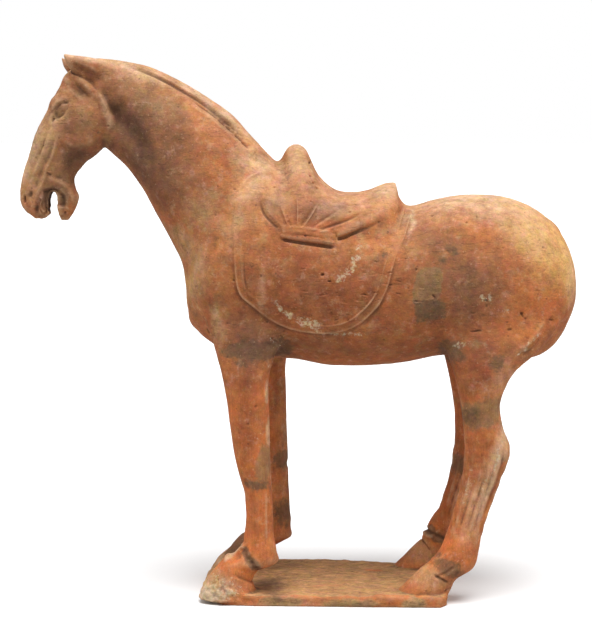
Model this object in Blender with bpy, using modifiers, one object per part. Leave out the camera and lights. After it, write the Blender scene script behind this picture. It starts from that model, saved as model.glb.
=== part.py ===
"""Pottery horse figure on its own slab, saddled, standing square: one hollow-moulded, fired clay piece.

The figure is one solid. Its masses (trunk, neck, head, ears, legs, saddle, slab) are lofts of oval rings
that overlap, are fused into one skin, and get the raised saddle cover and saddle cloth. The underside is
cut flat, so the figure rests on the whole slab.

Frame: metres, +Z up, origin on the floor under the middle of the figure's length and width.
-X is the head end and -Y is the horse's left side.
"""
import math

import bmesh
import bpy
import numpy as np

MM = 0.001

# Driving sizes, in millimetres
SLAB_TOP = 7.5            # thickness of the slab
FORELEG_SIDES = (-38.5, 36.5)   # middle of the left and the right foreleg, from the centre plane
HINDLEG_SIDES = (-40.0, 34.0)   # the same for the hind legs
RIGHT_FORELEG_BACK = 9.8        # the right foreleg stands this much further back
LEG_LEAN = 0.22           # how fast the legs lean in towards the trunk, above the belly
BELLY = 150.0             # height of the belly, where the legs leave the trunk
COVER_THICK = 2.6         # saddle cover, above the horse's back
CLOTH_THICK = 1.1         # saddle cloth, above the horse's flank
EDGE_RAMP = 3.0           # width of the rounded edges of the cover and the cloth
MIDDLE = (1.5, -0.5)      # x and y of the middle of the figure's box, from the plumb line through the pommel
SKIN = 0.15               # added all over, for what easing the joins wears off

RING_POINTS = 32          # points round a loft's ring
RINGS_BETWEEN = 5         # rings worked out from one station to the next
FUSE_CELL = 1.9           # cell of the skin that fuses the lofts
TRIANGLES = 9400          # triangles left in the finished solid

# Stations are measured from the plumb line through the pommel, and from the floor.
# A station is: front or top point (x, z), back or bottom point (x, z), half width, squareness, fullness.
# Squareness 2 is an ellipse, more is boxier. Fullness above 0 makes the ring widest near its second point.
TRUNK = [
    (-73.0, 217, -73.0, 192, 14, 2.0, 0.0),     # front of the breast
    (-68.0, 238, -68.0, 178.5, 28, 2.0, 0.0),
    (-58.0, 258, -58.0, 168, 38, 2.1, 0.0),
    (-42.0, 272, -44.0, 162, 44, 2.2, 0.0),
    (-20.0, 276, -20.0, 158.5, 48, 2.2, 0.0),   # withers
    (4.0, 272, 4.0, 156.5, 50, 2.2, 0.0),
    (28.0, 264, 28.0, 153.2, 52.5, 2.2, 0.0),
    (52.0, 259, 52.0, 153.3, 54, 2.2, 0.0),     # barrel
    (76.0, 259.5, 76.0, 155.7, 53.5, 2.2, 0.0),
    (95.0, 264, 96.0, 159.5, 52, 2.2, 0.0),
    (115.0, 267.3, 116.0, 160, 51.5, 2.2, 0.0),  # croup
    (135.0, 267.0, 136.0, 157, 50, 2.15, 0.0),
    (151.0, 263.0, 151.0, 157, 47, 2.1, 0.0),
    (166.0, 254.0, 165.0, 162, 41, 2.05, 0.0),
    (177.5, 240.5, 176.0, 173.5, 32, 2.0, 0.0),
    (184.5, 225.0, 184.0, 190, 19, 2.0, 0.0),
    (187.3, 212.0, 187.3, 203, 6, 2.0, 0.0),    # back of the rump
]
NECK = [
    (-147, 351, -134, 322, 9, 2.0, 0.1),        # inside the head
    (-142, 356, -127, 304.5, 12, 2.0, 0.15),
    (-131, 357.6, -122, 297, 14.5, 2.0, 0.2),
    (-116, 356, -112.5, 286, 17, 2.0, 0.22),
    (-97, 351.8, -103, 272, 20, 2.0, 0.22),
    (-78, 342.8, -93, 254.5, 24, 2.0, 0.2),
    (-60, 332.3, -84, 236, 29, 2.0, 0.18),
    (-43, 320.0, -76.5, 219, 34, 2.0, 0.12),
    (-28, 304.0, -74.0, 203, 39, 2.0, 0.08),
    (-13, 288.5, -70.5, 186, 43, 2.1, 0.0),
    (6, 274, -54, 172, 46, 2.1, 0.0),
    (32, 258, -30, 166, 45, 2.1, 0.0),          # inside the shoulders
]
HEAD = [
    (-148, 351.5, -131, 343, 7, 2.0, 0.0),      # poll
    (-154, 344, -124, 331, 12.5, 2.0, 0.0),
    (-160.8, 334, -120.5, 320, 15.5, 2.1, 0.0),  # brow
    (-166.3, 322, -121, 309, 16, 2.2, 0.0),     # eyes and cheeks
    (-171.3, 311, -126.5, 300.5, 15, 2.2, 0.0),
    (-175.6, 300, -134.5, 293, 13, 2.3, -0.05),
    (-179.4, 289, -142, 287.5, 11.2, 2.3, -0.05),
    (-182.6, 279, -146.8, 279.5, 10.2, 2.3, 0.0),
    (-184.3, 270, -146.3, 272.5, 10.2, 2.2, 0.0),  # nostrils
    (-184.2, 262.5, -144, 265.5, 10.4, 2.2, 0.0),
    (-181.0, 256, -147, 257.5, 9.5, 2.1, 0.0),
    (-174, 251, -152, 249.8, 6.0, 2.0, 0.0),    # lips
]
MOUTH = [(-163.6, 240), (-163.6, 262), (-162.6, 267), (-160.0, 269.8), (-158.4, 267), (-157.4, 260),
         (-156.2, 252), (-153.0, 246), (-153.0, 240)]   # the open gap between the lips, from the side
EAR = [
    (-153.6, 361.6, -153.4, 359.2, 1.2, 2.0, 0.0),  # tip
    (-150.0, 360.6, -151.2, 353.6, 3.4, 2.0, 0.0),
    (-144, 358.9, -147.0, 348.0, 5.4, 2.0, 0.0),
    (-137.5, 357.8, -139.5, 343.5, 6.2, 2.0, 0.0),
    (-129, 353, -131, 339.5, 5.0, 2.0, 0.0),        # root
]
EAR_SIDE = 8.5            # middle of each ear, out from the centre plane
FORELEG = [
    (-56, 214, 4, 212, 9, 2.0, 0.0),            # inside the shoulder
    (-57, 190, -2, 189, 11.5, 2.0, 0.0),
    (-52.5, 171.5, -11, 170, 12.5, 2.0, 0.0),   # elbow
    (-48.3, 152, -17.4, 152, 12.5, 2.0, 0.0),
    (-44.4, 127, -17.4, 128, 11.8, 2.0, 0.0),
    (-41.3, 103, -16.9, 104, 11.3, 2.0, 0.0),
    (-38.0, 87, -16.2, 88, 11.2, 2.0, 0.0),     # knee
    (-33.8, 73, -15.6, 74, 9.8, 2.0, 0.0),
    (-33.0, 58, -15.1, 59, 9.3, 2.0, 0.0),      # cannon
    (-34.0, 46, -14.6, 46, 10, 2.0, 0.0),
    (-35.3, 37, -12.8, 34, 11, 2.0, 0.0),
    (-39.5, 32, -13.5, 24.5, 11.6, 2.0, 0.0),   # fetlock
    (-47.5, 28.5, -25.0, 19.5, 11.8, 2.0, 0.0),
    (-55.5, 20, -28.0, 13, 12.8, 2.1, 0.0),     # coronet
    (-62.5, 9, -26.5, 8, 13.5, 2.2, 0.0),
    (-64.5, 2, -25.0, 2, 13.8, 2.3, 0.0),       # sole
]
HINDLEG = [
    (92, 226, 170, 222, 12, 2.0, 0.0),          # inside the rump
    (93, 204, 172, 198, 15, 2.0, 0.0),
    (95, 182, 169, 180, 16, 2.0, 0.0),          # thigh
    (98.5, 166, 158.5, 166, 16, 2.0, 0.0),
    (102.0, 156, 147, 156.5, 15.5, 2.0, 0.0),
    (104.6, 146, 138.0, 147, 14.5, 2.0, 0.0),
    (108.2, 131, 133.4, 133, 12.8, 2.0, 0.0),   # gaskin
    (110.2, 117, 134.6, 119, 12, 2.0, 0.0),
    (110.8, 105, 138.8, 107, 11.5, 2.0, 0.0),
    (110.8, 97, 140.2, 98.5, 11, 2.0, 0.0),     # hock
    (109.2, 85, 136.2, 87, 10.5, 2.0, 0.0),
    (106.4, 71, 131.4, 74, 10, 2.0, 0.0),
    (102.4, 57, 126.4, 60, 9.6, 2.0, 0.0),      # cannon
    (98.6, 44, 122.4, 46, 10, 2.0, 0.0),
    (94.6, 35, 120.0, 33, 11, 2.0, 0.0),
    (89.0, 28, 117.4, 22.5, 11.8, 2.0, 0.0),    # fetlock
    (81.5, 22.0, 107.0, 15, 11.8, 2.0, 0.0),
    (73.5, 14.0, 102.3, 9, 12.8, 2.1, 0.0),     # coronet
    (68.0, 8, 100.4, 5, 13.5, 2.2, 0.0),
    (66.0, 2, 99.2, 2, 13.8, 2.3, 0.0),         # sole
]
SADDLE = [                                      # along the back: top (x, z), bottom (x, z), half width
    (-12, 286, -12, 262, 8, 2.0, 0.35),
    (-8.5, 293, -8, 258, 16, 1.9, 0.5),
    (-4, 299, -4, 254, 22, 1.8, 0.6),
    (1, 300.6, 1, 250, 26, 1.8, 0.62),          # pommel
    (6, 297.5, 6, 248, 30, 1.8, 0.6),
    (10, 289, 10, 246, 33, 1.9, 0.5),
    (16, 278, 16, 244, 36, 2.0, 0.35),
    (26, 269.8, 26, 242, 38.5, 2.2, 0.2),
    (37, 267.2, 37, 242, 39.5, 2.4, 0.15),      # seat
    (48, 268.6, 48, 243, 38.5, 2.4, 0.15),
    (56.5, 273.0, 57, 245, 35, 2.4, 0.2),
    (62, 275.8, 62, 247, 30, 2.4, 0.25),        # cantle
    (65.5, 271.4, 65, 250, 23, 2.3, 0.25),
    (68.5, 262, 68, 255, 12, 2.0, 0.2),
]
SLAB = [(-63.5, -40), (-58, -46.5), (-46, -50.5), (-30, -52.5), (40, -55), (99.5, -56), (99.5, 42), (70, 46),
        (0, 54.5), (-36, 52.5), (-52, 47), (-61, 37), (-63.5, 22)]   # the slab's outline, from above, x and y
COVER_EDGE = [(-25, 290), (-24, 270), (-20, 258), (-11, 247), (-2, 242), (24, 242), (44, 250), (63, 260),
              (74, 284)]         # the saddle cover's outline, from the side, x and z
CLOTH_MIDDLE = (6.0, 227.0)    # middle of the saddle cloth's oval, x and z
CLOTH_REACH = (50.0, 50.5)     # its half length and half depth
HEADROOM = 400.0               # higher than the figure, in millimetres


def curve_through(rows, between):
    """Rows read off a smooth curve that passes through every row of a table."""
    rows = np.array(rows, float)
    ends = np.vstack([2 * rows[0] - rows[1], rows, 2 * rows[-1] - rows[-2]])
    found = []
    for first in range(len(rows) - 1):
        a, b, c, d = ends[first:first + 4]
        for step in range(between):
            t = step / between
            found.append(0.5 * (2 * b + (c - a) * t + (2 * a - 5 * b + 4 * c - d) * t ** 2
                                + (3 * b - a - 3 * c + d) * t ** 3))
    found.append(rows[-1])
    return np.array(found)


def ring(station, side):
    """The points of one oval ring: it spans its two (x, z) points and its half width across them."""
    x1, z1, x2, z2, half, square, full = station
    angle = np.linspace(0, 2 * math.pi, RING_POINTS, endpoint=False)
    along = np.sign(np.cos(angle)) * np.abs(np.cos(angle)) ** (2 / square)
    across = np.sign(np.sin(angle)) * np.abs(np.sin(angle)) ** (2 / square)
    x = (x1 + x2) / 2 + (x1 - x2) / 2 * along
    z = (z1 + z2) / 2 + (z1 - z2) / 2 * along
    y = side + half * across * (1 - full * along)
    return np.column_stack([x, y, z])


def add_loft(bm, stations, side=0.0, shift=None):
    """Adds one closed loft through the stations. shift(points) may move the finished rings."""
    rings = []
    for station in curve_through(stations, RINGS_BETWEEN):
        points = ring(station, side)
        if shift:
            points = shift(points)
        rings.append([bm.verts.new(point * MM) for point in points])
    for lower, upper in zip(rings, rings[1:]):
        for i in range(RING_POINTS):
            j = (i + 1) % RING_POINTS
            bm.faces.new((lower[i], lower[j], upper[j], upper[i]))
    bm.faces.new(rings[0][::-1])
    bm.faces.new(rings[-1])


def lean_in(points):
    """Leans a leg in towards the centre plane above the belly, so that it grows out of the trunk."""
    above = np.clip(points[:, 2] - BELLY, 0, None)
    points[:, 1] -= np.sign(points[:, 1].mean()) * LEG_LEAN * above
    return points


def step_back(points):
    """Sets the right foreleg back, less and less down the hoof, so that its toe stays in line."""
    amount = np.clip((points[:, 2] - 4.0) / 20.0, 0, 1)
    points[:, 0] += RIGHT_FORELEG_BACK * amount
    return lean_in(points)


def add_slab(bm):
    """The slab, with its lower face below the floor, where the finished figure is cut flat."""
    low = [bm.verts.new((x * MM, y * MM, -4 * MM)) for x, y in SLAB]
    high = [bm.verts.new((x * MM, y * MM, SLAB_TOP * MM)) for x, y in SLAB]
    bm.faces.new(low[::-1])
    bm.faces.new(high)
    for i in range(len(SLAB)):
        j = (i + 1) % len(SLAB)
        bm.faces.new((low[i], low[j], high[j], high[i]))


def new_object(name, bm, collection):
    """A mesh object from a bmesh, with its faces pointing out."""
    bmesh.ops.recalc_face_normals(bm, faces=bm.faces)
    mesh = bpy.data.meshes.new(name)
    bm.to_mesh(mesh)
    bm.free()
    made = bpy.data.objects.new(name, mesh)
    collection.objects.link(made)
    return made


def bake(made):
    """Replaces an object's mesh by what its modifiers make of it."""
    graph = bpy.context.evaluated_depsgraph_get()
    mesh = bpy.data.meshes.new_from_object(made.evaluated_get(graph))
    made.modifiers.clear()
    made.data = mesh


def depth_inside(x, z, outline):
    """How deep each (x, z) lies inside a closed outline; outside it the depth is below zero."""
    inside = np.zeros(len(x), bool)
    nearest = np.full(len(x), np.inf)
    for (x1, z1), (x2, z2) in zip(outline, outline[1:] + outline[:1]):
        along_x, along_z = x2 - x1, z2 - z1
        part = np.clip(((x - x1) * along_x + (z - z1) * along_z) / (along_x ** 2 + along_z ** 2), 0, 1)
        nearest = np.minimum(nearest, np.hypot(x - x1 - part * along_x, z - z1 - part * along_z))
        if z1 != z2:
            crosses = (z1 > z) != (z2 > z)
            inside ^= crosses & (x < x1 + (z - z1) / along_z * along_x)
    return np.where(inside, nearest, -nearest)


def ramp(depth):
    """Rises smoothly from 0 at an edge to 1 at EDGE_RAMP inside it."""
    t = np.clip(depth / EDGE_RAMP, 0, 1)
    return t * t * (3 - 2 * t)


def raise_cloths(mesh):
    """Lifts the skin along its normals: the saddle cloth first, and the saddle cover above it."""
    count = len(mesh.vertices)
    points = np.empty(count * 3, np.float32)
    normals = np.empty(count * 3, np.float32)
    mesh.vertices.foreach_get("co", points)
    mesh.vertex_normals.foreach_get("vector", normals)
    points = points.reshape(-1, 3)
    x, y, z = points.T / MM
    oval = np.hypot((x - CLOTH_MIDDLE[0]) / CLOTH_REACH[0], (z - CLOTH_MIDDLE[1]) / CLOTH_REACH[1])
    cloth = ramp((1 - oval) * CLOTH_REACH[0])
    cover = ramp(depth_inside(x, z, COVER_EDGE))
    on_flank = np.clip((np.abs(y) - 12) / 12, 0, 1)
    lift = SKIN + on_flank * (CLOTH_THICK * cloth + COVER_THICK * cover)
    points += normals.reshape(-1, 3) * (lift * MM)[:, None]
    mesh.vertices.foreach_set("co", points.ravel())
    mesh.update()


def terracotta():
    """Fired orange clay, unglazed."""
    material = bpy.data.materials.new("terracotta")
    material.use_nodes = True
    shader = material.node_tree.nodes["Principled BSDF"]
    shader.inputs["Base Color"].default_value = (0.42, 0.16, 0.065, 1)
    shader.inputs["Roughness"].default_value = 0.9
    shader.inputs["Metallic"].default_value = 0.0
    return material


def cutter(name, bm, collection):
    """A cutting shape: shown as wires and not rendered."""
    made = new_object(name, bm, collection)
    made.display_type = "WIRE"
    made.hide_render = True
    return made


def mouth_cutter(collection):
    """The gap between the lips, cut right through from side to side."""
    bm = bmesh.new()
    half = 30.0
    near = [bm.verts.new((x * MM, -half * MM, z * MM)) for x, z in MOUTH]
    face = bm.faces.new(near)
    grown = bmesh.ops.extrude_face_region(bm, geom=[face])
    moved = [item for item in grown["geom"] if isinstance(item, bmesh.types.BMVert)]
    bmesh.ops.translate(bm, verts=moved, vec=(0, 2 * half * MM, 0))
    return cutter("mouth_gap", bm, collection)


def floor_cutter(collection):
    """Everything below the floor."""
    bm = bmesh.new()
    bmesh.ops.create_cube(bm, size=HEADROOM * MM)
    bmesh.ops.translate(bm, verts=bm.verts, vec=(0, 0, -HEADROOM / 2 * MM))
    return cutter("below_floor", bm, collection)


def cut(made, tool):
    """Takes a cutter away from an object."""
    modifier = made.modifiers.new("cut " + tool.name, "BOOLEAN")
    modifier.operation = "DIFFERENCE"
    modifier.object = tool


def reduce_to(made, triangles):
    """Thins the mesh to a number of triangles and leaves only triangles."""
    made.data.calc_loop_triangles()
    modifier = made.modifiers.new("thin out", "DECIMATE")
    modifier.ratio = triangles / len(made.data.loop_triangles)
    modifier.use_collapse_triangulate = True


def build():
    for old in list(bpy.data.objects):
        bpy.data.objects.remove(old, do_unlink=True)
    figure = bpy.data.collections.new("pottery_horse")
    tools = bpy.data.collections.new("cutters")
    bpy.context.scene.collection.children.link(figure)
    bpy.context.scene.collection.children.link(tools)

    bm = bmesh.new()
    for stations in (TRUNK, NECK, HEAD, SADDLE):
        add_loft(bm, stations)
    for side in (-1, 1):
        add_loft(bm, EAR, side * EAR_SIDE)
    for side, shift in zip(FORELEG_SIDES, (lean_in, step_back)):
        add_loft(bm, FORELEG, side, shift)
    for side in HINDLEG_SIDES:
        add_loft(bm, HINDLEG, side, lean_in)
    add_slab(bm)
    horse = new_object("horse_figure", bm, figure)

    fuse = horse.modifiers.new("fuse", "REMESH")
    fuse.mode = "VOXEL"
    fuse.voxel_size = FUSE_CELL * MM
    ease = horse.modifiers.new("ease joins", "SMOOTH")
    ease.factor = 0.5
    ease.iterations = 3
    bake(horse)
    raise_cloths(horse.data)
    reduce_to(horse, TRIANGLES)
    bake(horse)
    cut(horse, mouth_cutter(tools))
    cut(horse, floor_cutter(tools))
    horse.location = (-MIDDLE[0] * MM, -MIDDLE[1] * MM, 0)
    horse.data.materials.append(terracotta())
    print("horse_figure:", len(horse.data.vertices), "points before the last cuts")


build()
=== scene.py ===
# %% [markdown]
# # A saddled horse of fired clay
#
# This notebook finishes one object: a moulded pottery horse that stands on a thin slab, with a saddle,
# a saddle cover gathered at the side, and an oval saddle cloth. The real one is a single piece of
# unglazed earthenware, pressed in moulds, luted together, brushed with slip and fired.
#
# The plain solid of the horse is loaded first as a fixed frame. It gives the size and the place, and
# everything below is made to fit it.

# %% Load the frame
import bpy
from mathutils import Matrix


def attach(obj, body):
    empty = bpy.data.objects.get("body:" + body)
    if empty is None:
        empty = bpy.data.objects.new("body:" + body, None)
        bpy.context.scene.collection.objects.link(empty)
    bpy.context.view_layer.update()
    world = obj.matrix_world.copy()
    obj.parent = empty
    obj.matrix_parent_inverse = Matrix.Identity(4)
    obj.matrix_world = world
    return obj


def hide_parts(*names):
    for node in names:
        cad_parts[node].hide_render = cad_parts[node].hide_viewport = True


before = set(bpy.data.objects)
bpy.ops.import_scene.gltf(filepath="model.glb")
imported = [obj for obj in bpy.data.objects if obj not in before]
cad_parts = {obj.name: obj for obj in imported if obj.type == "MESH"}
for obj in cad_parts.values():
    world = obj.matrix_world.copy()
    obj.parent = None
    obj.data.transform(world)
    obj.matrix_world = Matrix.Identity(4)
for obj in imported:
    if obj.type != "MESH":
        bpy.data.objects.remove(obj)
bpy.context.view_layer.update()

# %% Modules and units
import math

import bmesh
import bpy
import numpy as np
import openvdb
from mathutils import Vector

MM = 0.001
MIDDLE = np.array([1.5, -0.5, 0.0])    # the frame's origin, measured from the plumb line through the pommel
LEFT, RIGHT = -1, 1                    # the sides of the horse, as signs of y
BOTH = (LEFT, RIGHT)

# %% [markdown]
# ## How the clay is modelled
#
# A clay horse is a few soft masses pressed together: trunk, neck, head, legs, saddle. Each mass is a
# *loft*, a skin through oval rings. Overlapping lofts could be joined with a Boolean, but that leaves a
# sharp crease where a potter's thumb leaves a soft one. So each loft is turned into a *distance field*,
# a block of numbers that say how far every point is from the skin. Two fields are joined by taking the
# smaller number, and a smooth minimum fills the crease with a fillet of any radius.
#
# All measures are in millimetres from the floor and from a plumb line through the pommel. -X is the
# head end, and -Y is the horse's left side.

# %% A smooth curve through a table's rows
RINGS_BETWEEN = 6         # rings worked out from one station to the next
RING_POINTS = 48          # points round a ring


def curve_through(rows, between):
    """Rows read off a smooth curve that passes through every row of a table."""
    rows = np.array(rows, float)
    ends = np.vstack([2 * rows[0] - rows[1], rows, 2 * rows[-1] - rows[-2]])
    found = []
    for first in range(len(rows) - 1):
        a, b, c, d = ends[first:first + 4]
        for step in range(between):
            t = step / between
            found.append(0.5 * (2 * b + (c - a) * t + (2 * a - 5 * b + 4 * c - d) * t ** 2
                                + (3 * b - a - 3 * c + d) * t ** 3))
    found.append(rows[-1])
    return np.array(found)


# %% A ring and a loft
def ring(station, side):
    """One oval ring: it spans its two (x, z) points and its half width across them."""
    x1, z1, x2, z2, half, square, full = station
    angle = np.linspace(0, 2 * math.pi, RING_POINTS, endpoint=False)
    along = np.sign(np.cos(angle)) * np.abs(np.cos(angle)) ** (2 / square)
    across = np.sign(np.sin(angle)) * np.abs(np.sin(angle)) ** (2 / square)
    x = (x1 + x2) / 2 + (x1 - x2) / 2 * along
    z = (z1 + z2) / 2 + (z1 - z2) / 2 * along
    y = side + half * across * (1 - full * along)
    return np.column_stack([x, y, z])


def loft(stations, side=0.0, shift=None):
    """Points and triangles of one closed loft. shift(points) may move each finished ring."""
    rings = [ring(station, side) for station in curve_through(stations, RINGS_BETWEEN)]
    if shift:
        rings = [shift(points) for points in rings]
    points = np.vstack(rings + [rings[0].mean(0), rings[-1].mean(0)])
    here = np.arange(RING_POINTS)
    there = (here + 1) % RING_POINTS
    faces = []
    for first in range(0, (len(rings) - 1) * RING_POINTS, RING_POINTS):
        a, b = first + here, first + there
        faces.append(np.column_stack([a, b, b + RING_POINTS]))
        faces.append(np.column_stack([a, b + RING_POINTS, a + RING_POINTS]))
    last, cap = (len(rings) - 1) * RING_POINTS, len(points) - 2
    faces.append(np.column_stack([here * 0 + cap, there, here]))
    faces.append(np.column_stack([here * 0 + cap + 1, last + here, last + there]))
    return points, np.vstack(faces)


# %% [markdown]
# ## The tables of rings
#
# Each row is one ring: its front or top point (x, z), its back or bottom point (x, z), its half width,
# its squareness (2 is an ellipse, more is boxier) and its fullness (above 0, the ring is widest near its
# second point). They began as the rings of the plain solid, and were then brought closer to the real
# form, so most of them differ from it by a few millimetres.

# %% Trunk and neck
TRUNK = [
    (-70.6, 214, -70.6, 194, 13, 2.0, 0.0),     # front of the breast
    (-66.6, 238, -67.2, 178.9, 28, 2.0, 0.0),
    (-58.0, 258, -58.2, 169.8, 38, 2.1, 0.0),
    (-42.0, 272, -44.0, 162, 44, 2.2, 0.0),
    (-20.0, 276, -20.0, 158.5, 48, 2.2, 0.0),   # withers
    (4.0, 272, 1.0, 157.2, 50, 2.2, 0.0),
    (28.0, 264, 22.0, 153.4, 52.5, 2.2, 0.0),
    (52.0, 259, 52.0, 153.3, 54, 2.2, 0.0),     # barrel
    (76.0, 259.5, 76.0, 155.7, 53.5, 2.2, 0.0),
    (95.0, 264.6, 96.0, 159.5, 52, 2.2, 0.0),
    (115.0, 267.3, 116.0, 160, 51.5, 2.2, 0.0),  # croup
    (135.0, 266.4, 136.0, 157, 50, 2.15, 0.0),
    (151.0, 261.9, 151.0, 156.6, 47, 2.1, 0.0),
    (166.0, 253.4, 165.4, 161.0, 41, 2.05, 0.0),
    (177.5, 240.5, 177.0, 172.4, 32, 2.0, 0.0),
    (184.5, 225.0, 184.6, 189, 19, 2.0, 0.0),
    (187.3, 212.0, 187.3, 203, 6, 2.0, 0.0),    # back of the rump
]
NECK = [
    (-147, 351, -134, 322, 9, 2.0, 0.1),        # inside the head
    (-142, 356, -128.5, 301.5, 12, 2.0, 0.15),
    (-131, 357.2, -122.8, 295.0, 14.5, 2.0, 0.2),
    (-116, 355.4, -112.4, 285.2, 17, 2.0, 0.22),
    (-97, 351.3, -102.0, 271.6, 20, 2.0, 0.22),
    (-78, 342.8, -93, 254.5, 24, 2.0, 0.2),
    (-60, 332.3, -83.2, 236.5, 29, 2.0, 0.18),
    (-43, 320.0, -75.0, 219.5, 34, 2.0, 0.12),
    (-28, 304.0, -71.8, 203, 39, 2.0, 0.08),
    (-13, 288.5, -69.0, 186, 43, 2.1, 0.0),
    (6, 274, -54, 172, 46, 2.1, 0.0),
    (32, 258, -30, 166, 45, 2.1, 0.0),          # inside the shoulders
]

# %% Head and ears
HEAD = [
    (-148, 351.5, -131, 343, 7, 2.0, 0.0),      # poll
    (-153.6, 345.7, -126, 335, 11, 2.0, 0.0),
    (-156.6, 338.8, -122.5, 326.5, 14, 2.0, 0.0),
    (-159.4, 333.8, -120.8, 321, 15.3, 2.1, 0.0),  # brow
    (-162.8, 329.2, -120.5, 316, 16, 2.2, 0.0),
    (-165.6, 321.5, -121, 309, 16, 2.2, 0.0),   # eyes and cheeks
    (-171.3, 311, -126.5, 299.8, 15, 2.2, 0.0),
    (-175.6, 300, -134.0, 292.4, 13, 2.3, -0.05),
    (-179.4, 289, -141.2, 286.8, 11.2, 2.3, -0.05),
    (-182.6, 279, -146.8, 279.2, 10.2, 2.3, 0.0),
    (-184.3, 270, -146.8, 272.5, 10.2, 2.2, 0.0),  # nostrils
    (-184.2, 262.5, -144.4, 265.5, 10.4, 2.2, 0.0),
    (-181.0, 256, -147, 257.5, 9.5, 2.1, 0.0),
    (-174, 251, -152, 249.8, 6.0, 2.0, 0.0),    # lips
]
# The open gap between the lips, from the side.
MOUTH = [(-172.6, 240), (-171.4, 249.4), (-168.0, 251.2), (-164.2, 253.4), (-163.2, 258), (-163.0, 262.6),
         (-162.2, 266.4), (-161.0, 268.6), (-159.6, 266), (-158.8, 260), (-157.2, 252), (-154.4, 246),
         (-154.0, 240)]
EAR = [
    (-152.6, 359.8, -152.9, 358.4, 1.0, 2.0, 0.0),  # tip
    (-149.8, 359.4, -151.4, 353.6, 3.0, 2.0, 0.0),
    (-145.6, 358.7, -148.4, 349.2, 4.6, 2.0, 0.0),
    (-139.5, 358.2, -142.5, 345.6, 5.4, 2.0, 0.0),
    (-132.5, 357.2, -135.0, 342.8, 5.6, 2.0, 0.0),
    (-124.0, 354.5, -126.0, 342.5, 5.2, 2.0, 0.0),
    (-114.0, 350.0, -116.0, 342.0, 4.0, 2.0, 0.0),  # root, inside the neck
]
EAR_SIDE = 8.5            # middle of each ear, out from the centre plane
EAR_BACK = -134.0         # behind this the ears close up and run into the neck

# %% Legs
FORELEG_SIDES = (-38.5, 36.5)   # middle of the left and the right foreleg, from the centre plane
HINDLEG_SIDES = (-40.0, 34.0)   # the same for the hind legs
RIGHT_FORELEG_BACK = 10.5       # the right foreleg stands this much further back
LEG_LEAN = 0.22           # how fast the legs lean in towards the trunk, above the belly
BELLY = 150.0             # height of the belly, where the legs leave the trunk
FORELEG = [
    (-56, 214, 4, 212, 9, 2.0, 0.0),            # inside the shoulder
    (-57, 190, -2, 189, 11.5, 2.0, 0.0),
    (-54, 171.5, -11, 170, 12.5, 2.0, 0.0),     # elbow
    (-49.0, 152, -17.4, 152, 12.5, 2.0, 0.0),
    (-44.4, 127, -17.4, 128, 11.8, 2.0, 0.0),
    (-41.3, 103, -16.9, 104, 11.3, 2.0, 0.0),
    (-38.0, 87, -16.2, 88, 11.2, 2.0, 0.0),     # knee
    (-33.8, 73, -15.6, 74, 9.8, 2.0, 0.0),
    (-33.0, 58, -15.1, 59, 9.3, 2.0, 0.0),      # cannon
    (-34.0, 46, -14.6, 46, 10, 2.0, 0.0),
    (-35.3, 37, -12.8, 34, 11, 2.0, 0.0),
    (-39.5, 32, -12.2, 26.4, 11.6, 2.0, 0.0),   # fetlock
    (-47.5, 28.5, -25.4, 21.0, 11.8, 2.0, 0.0),
    (-55.5, 20, -28.4, 14.2, 12.8, 2.1, 0.0),   # coronet
    (-62.5, 9, -26.5, 8, 13.5, 2.2, 0.0),
    (-64.5, 2, -25.0, 2, 13.8, 2.3, 0.0),       # sole
]
HINDLEG = [
    (92, 226, 170, 222, 12, 2.0, 0.0),          # inside the rump
    (93, 204, 172, 198, 15, 2.0, 0.0),
    (95, 182, 169, 180, 16, 2.0, 0.0),          # thigh
    (98.5, 166, 158.5, 166, 16, 2.0, 0.0),
    (102.0, 156, 147, 156.5, 15.5, 2.0, 0.0),
    (104.6, 146, 139.6, 147.6, 14.5, 2.0, 0.0),
    (108.2, 131, 133.4, 133, 12.8, 2.0, 0.0),   # gaskin
    (110.2, 117, 134.6, 119, 12, 2.0, 0.0),
    (110.8, 105, 138.8, 107, 11.5, 2.0, 0.0),
    (110.8, 97, 140.2, 98.5, 11, 2.0, 0.0),     # hock
    (109.2, 85, 136.2, 87, 10.5, 2.0, 0.0),
    (106.4, 71, 131.4, 74, 10, 2.0, 0.0),
    (102.4, 57, 126.4, 60, 9.6, 2.0, 0.0),      # cannon
    (98.6, 44, 122.4, 46, 10, 2.0, 0.0),
    (94.6, 35, 120.0, 33, 11, 2.0, 0.0),
    (89.0, 28, 116.6, 23.4, 11.8, 2.0, 0.0),    # fetlock
    (81.5, 22.0, 106.0, 15.8, 11.8, 2.0, 0.0),
    (73.5, 14.0, 102.3, 9, 12.8, 2.1, 0.0),     # coronet
    (68.0, 8, 100.4, 5, 13.5, 2.2, 0.0),
    (66.0, 2, 99.2, 2, 13.8, 2.3, 0.0),         # sole
]

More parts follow.
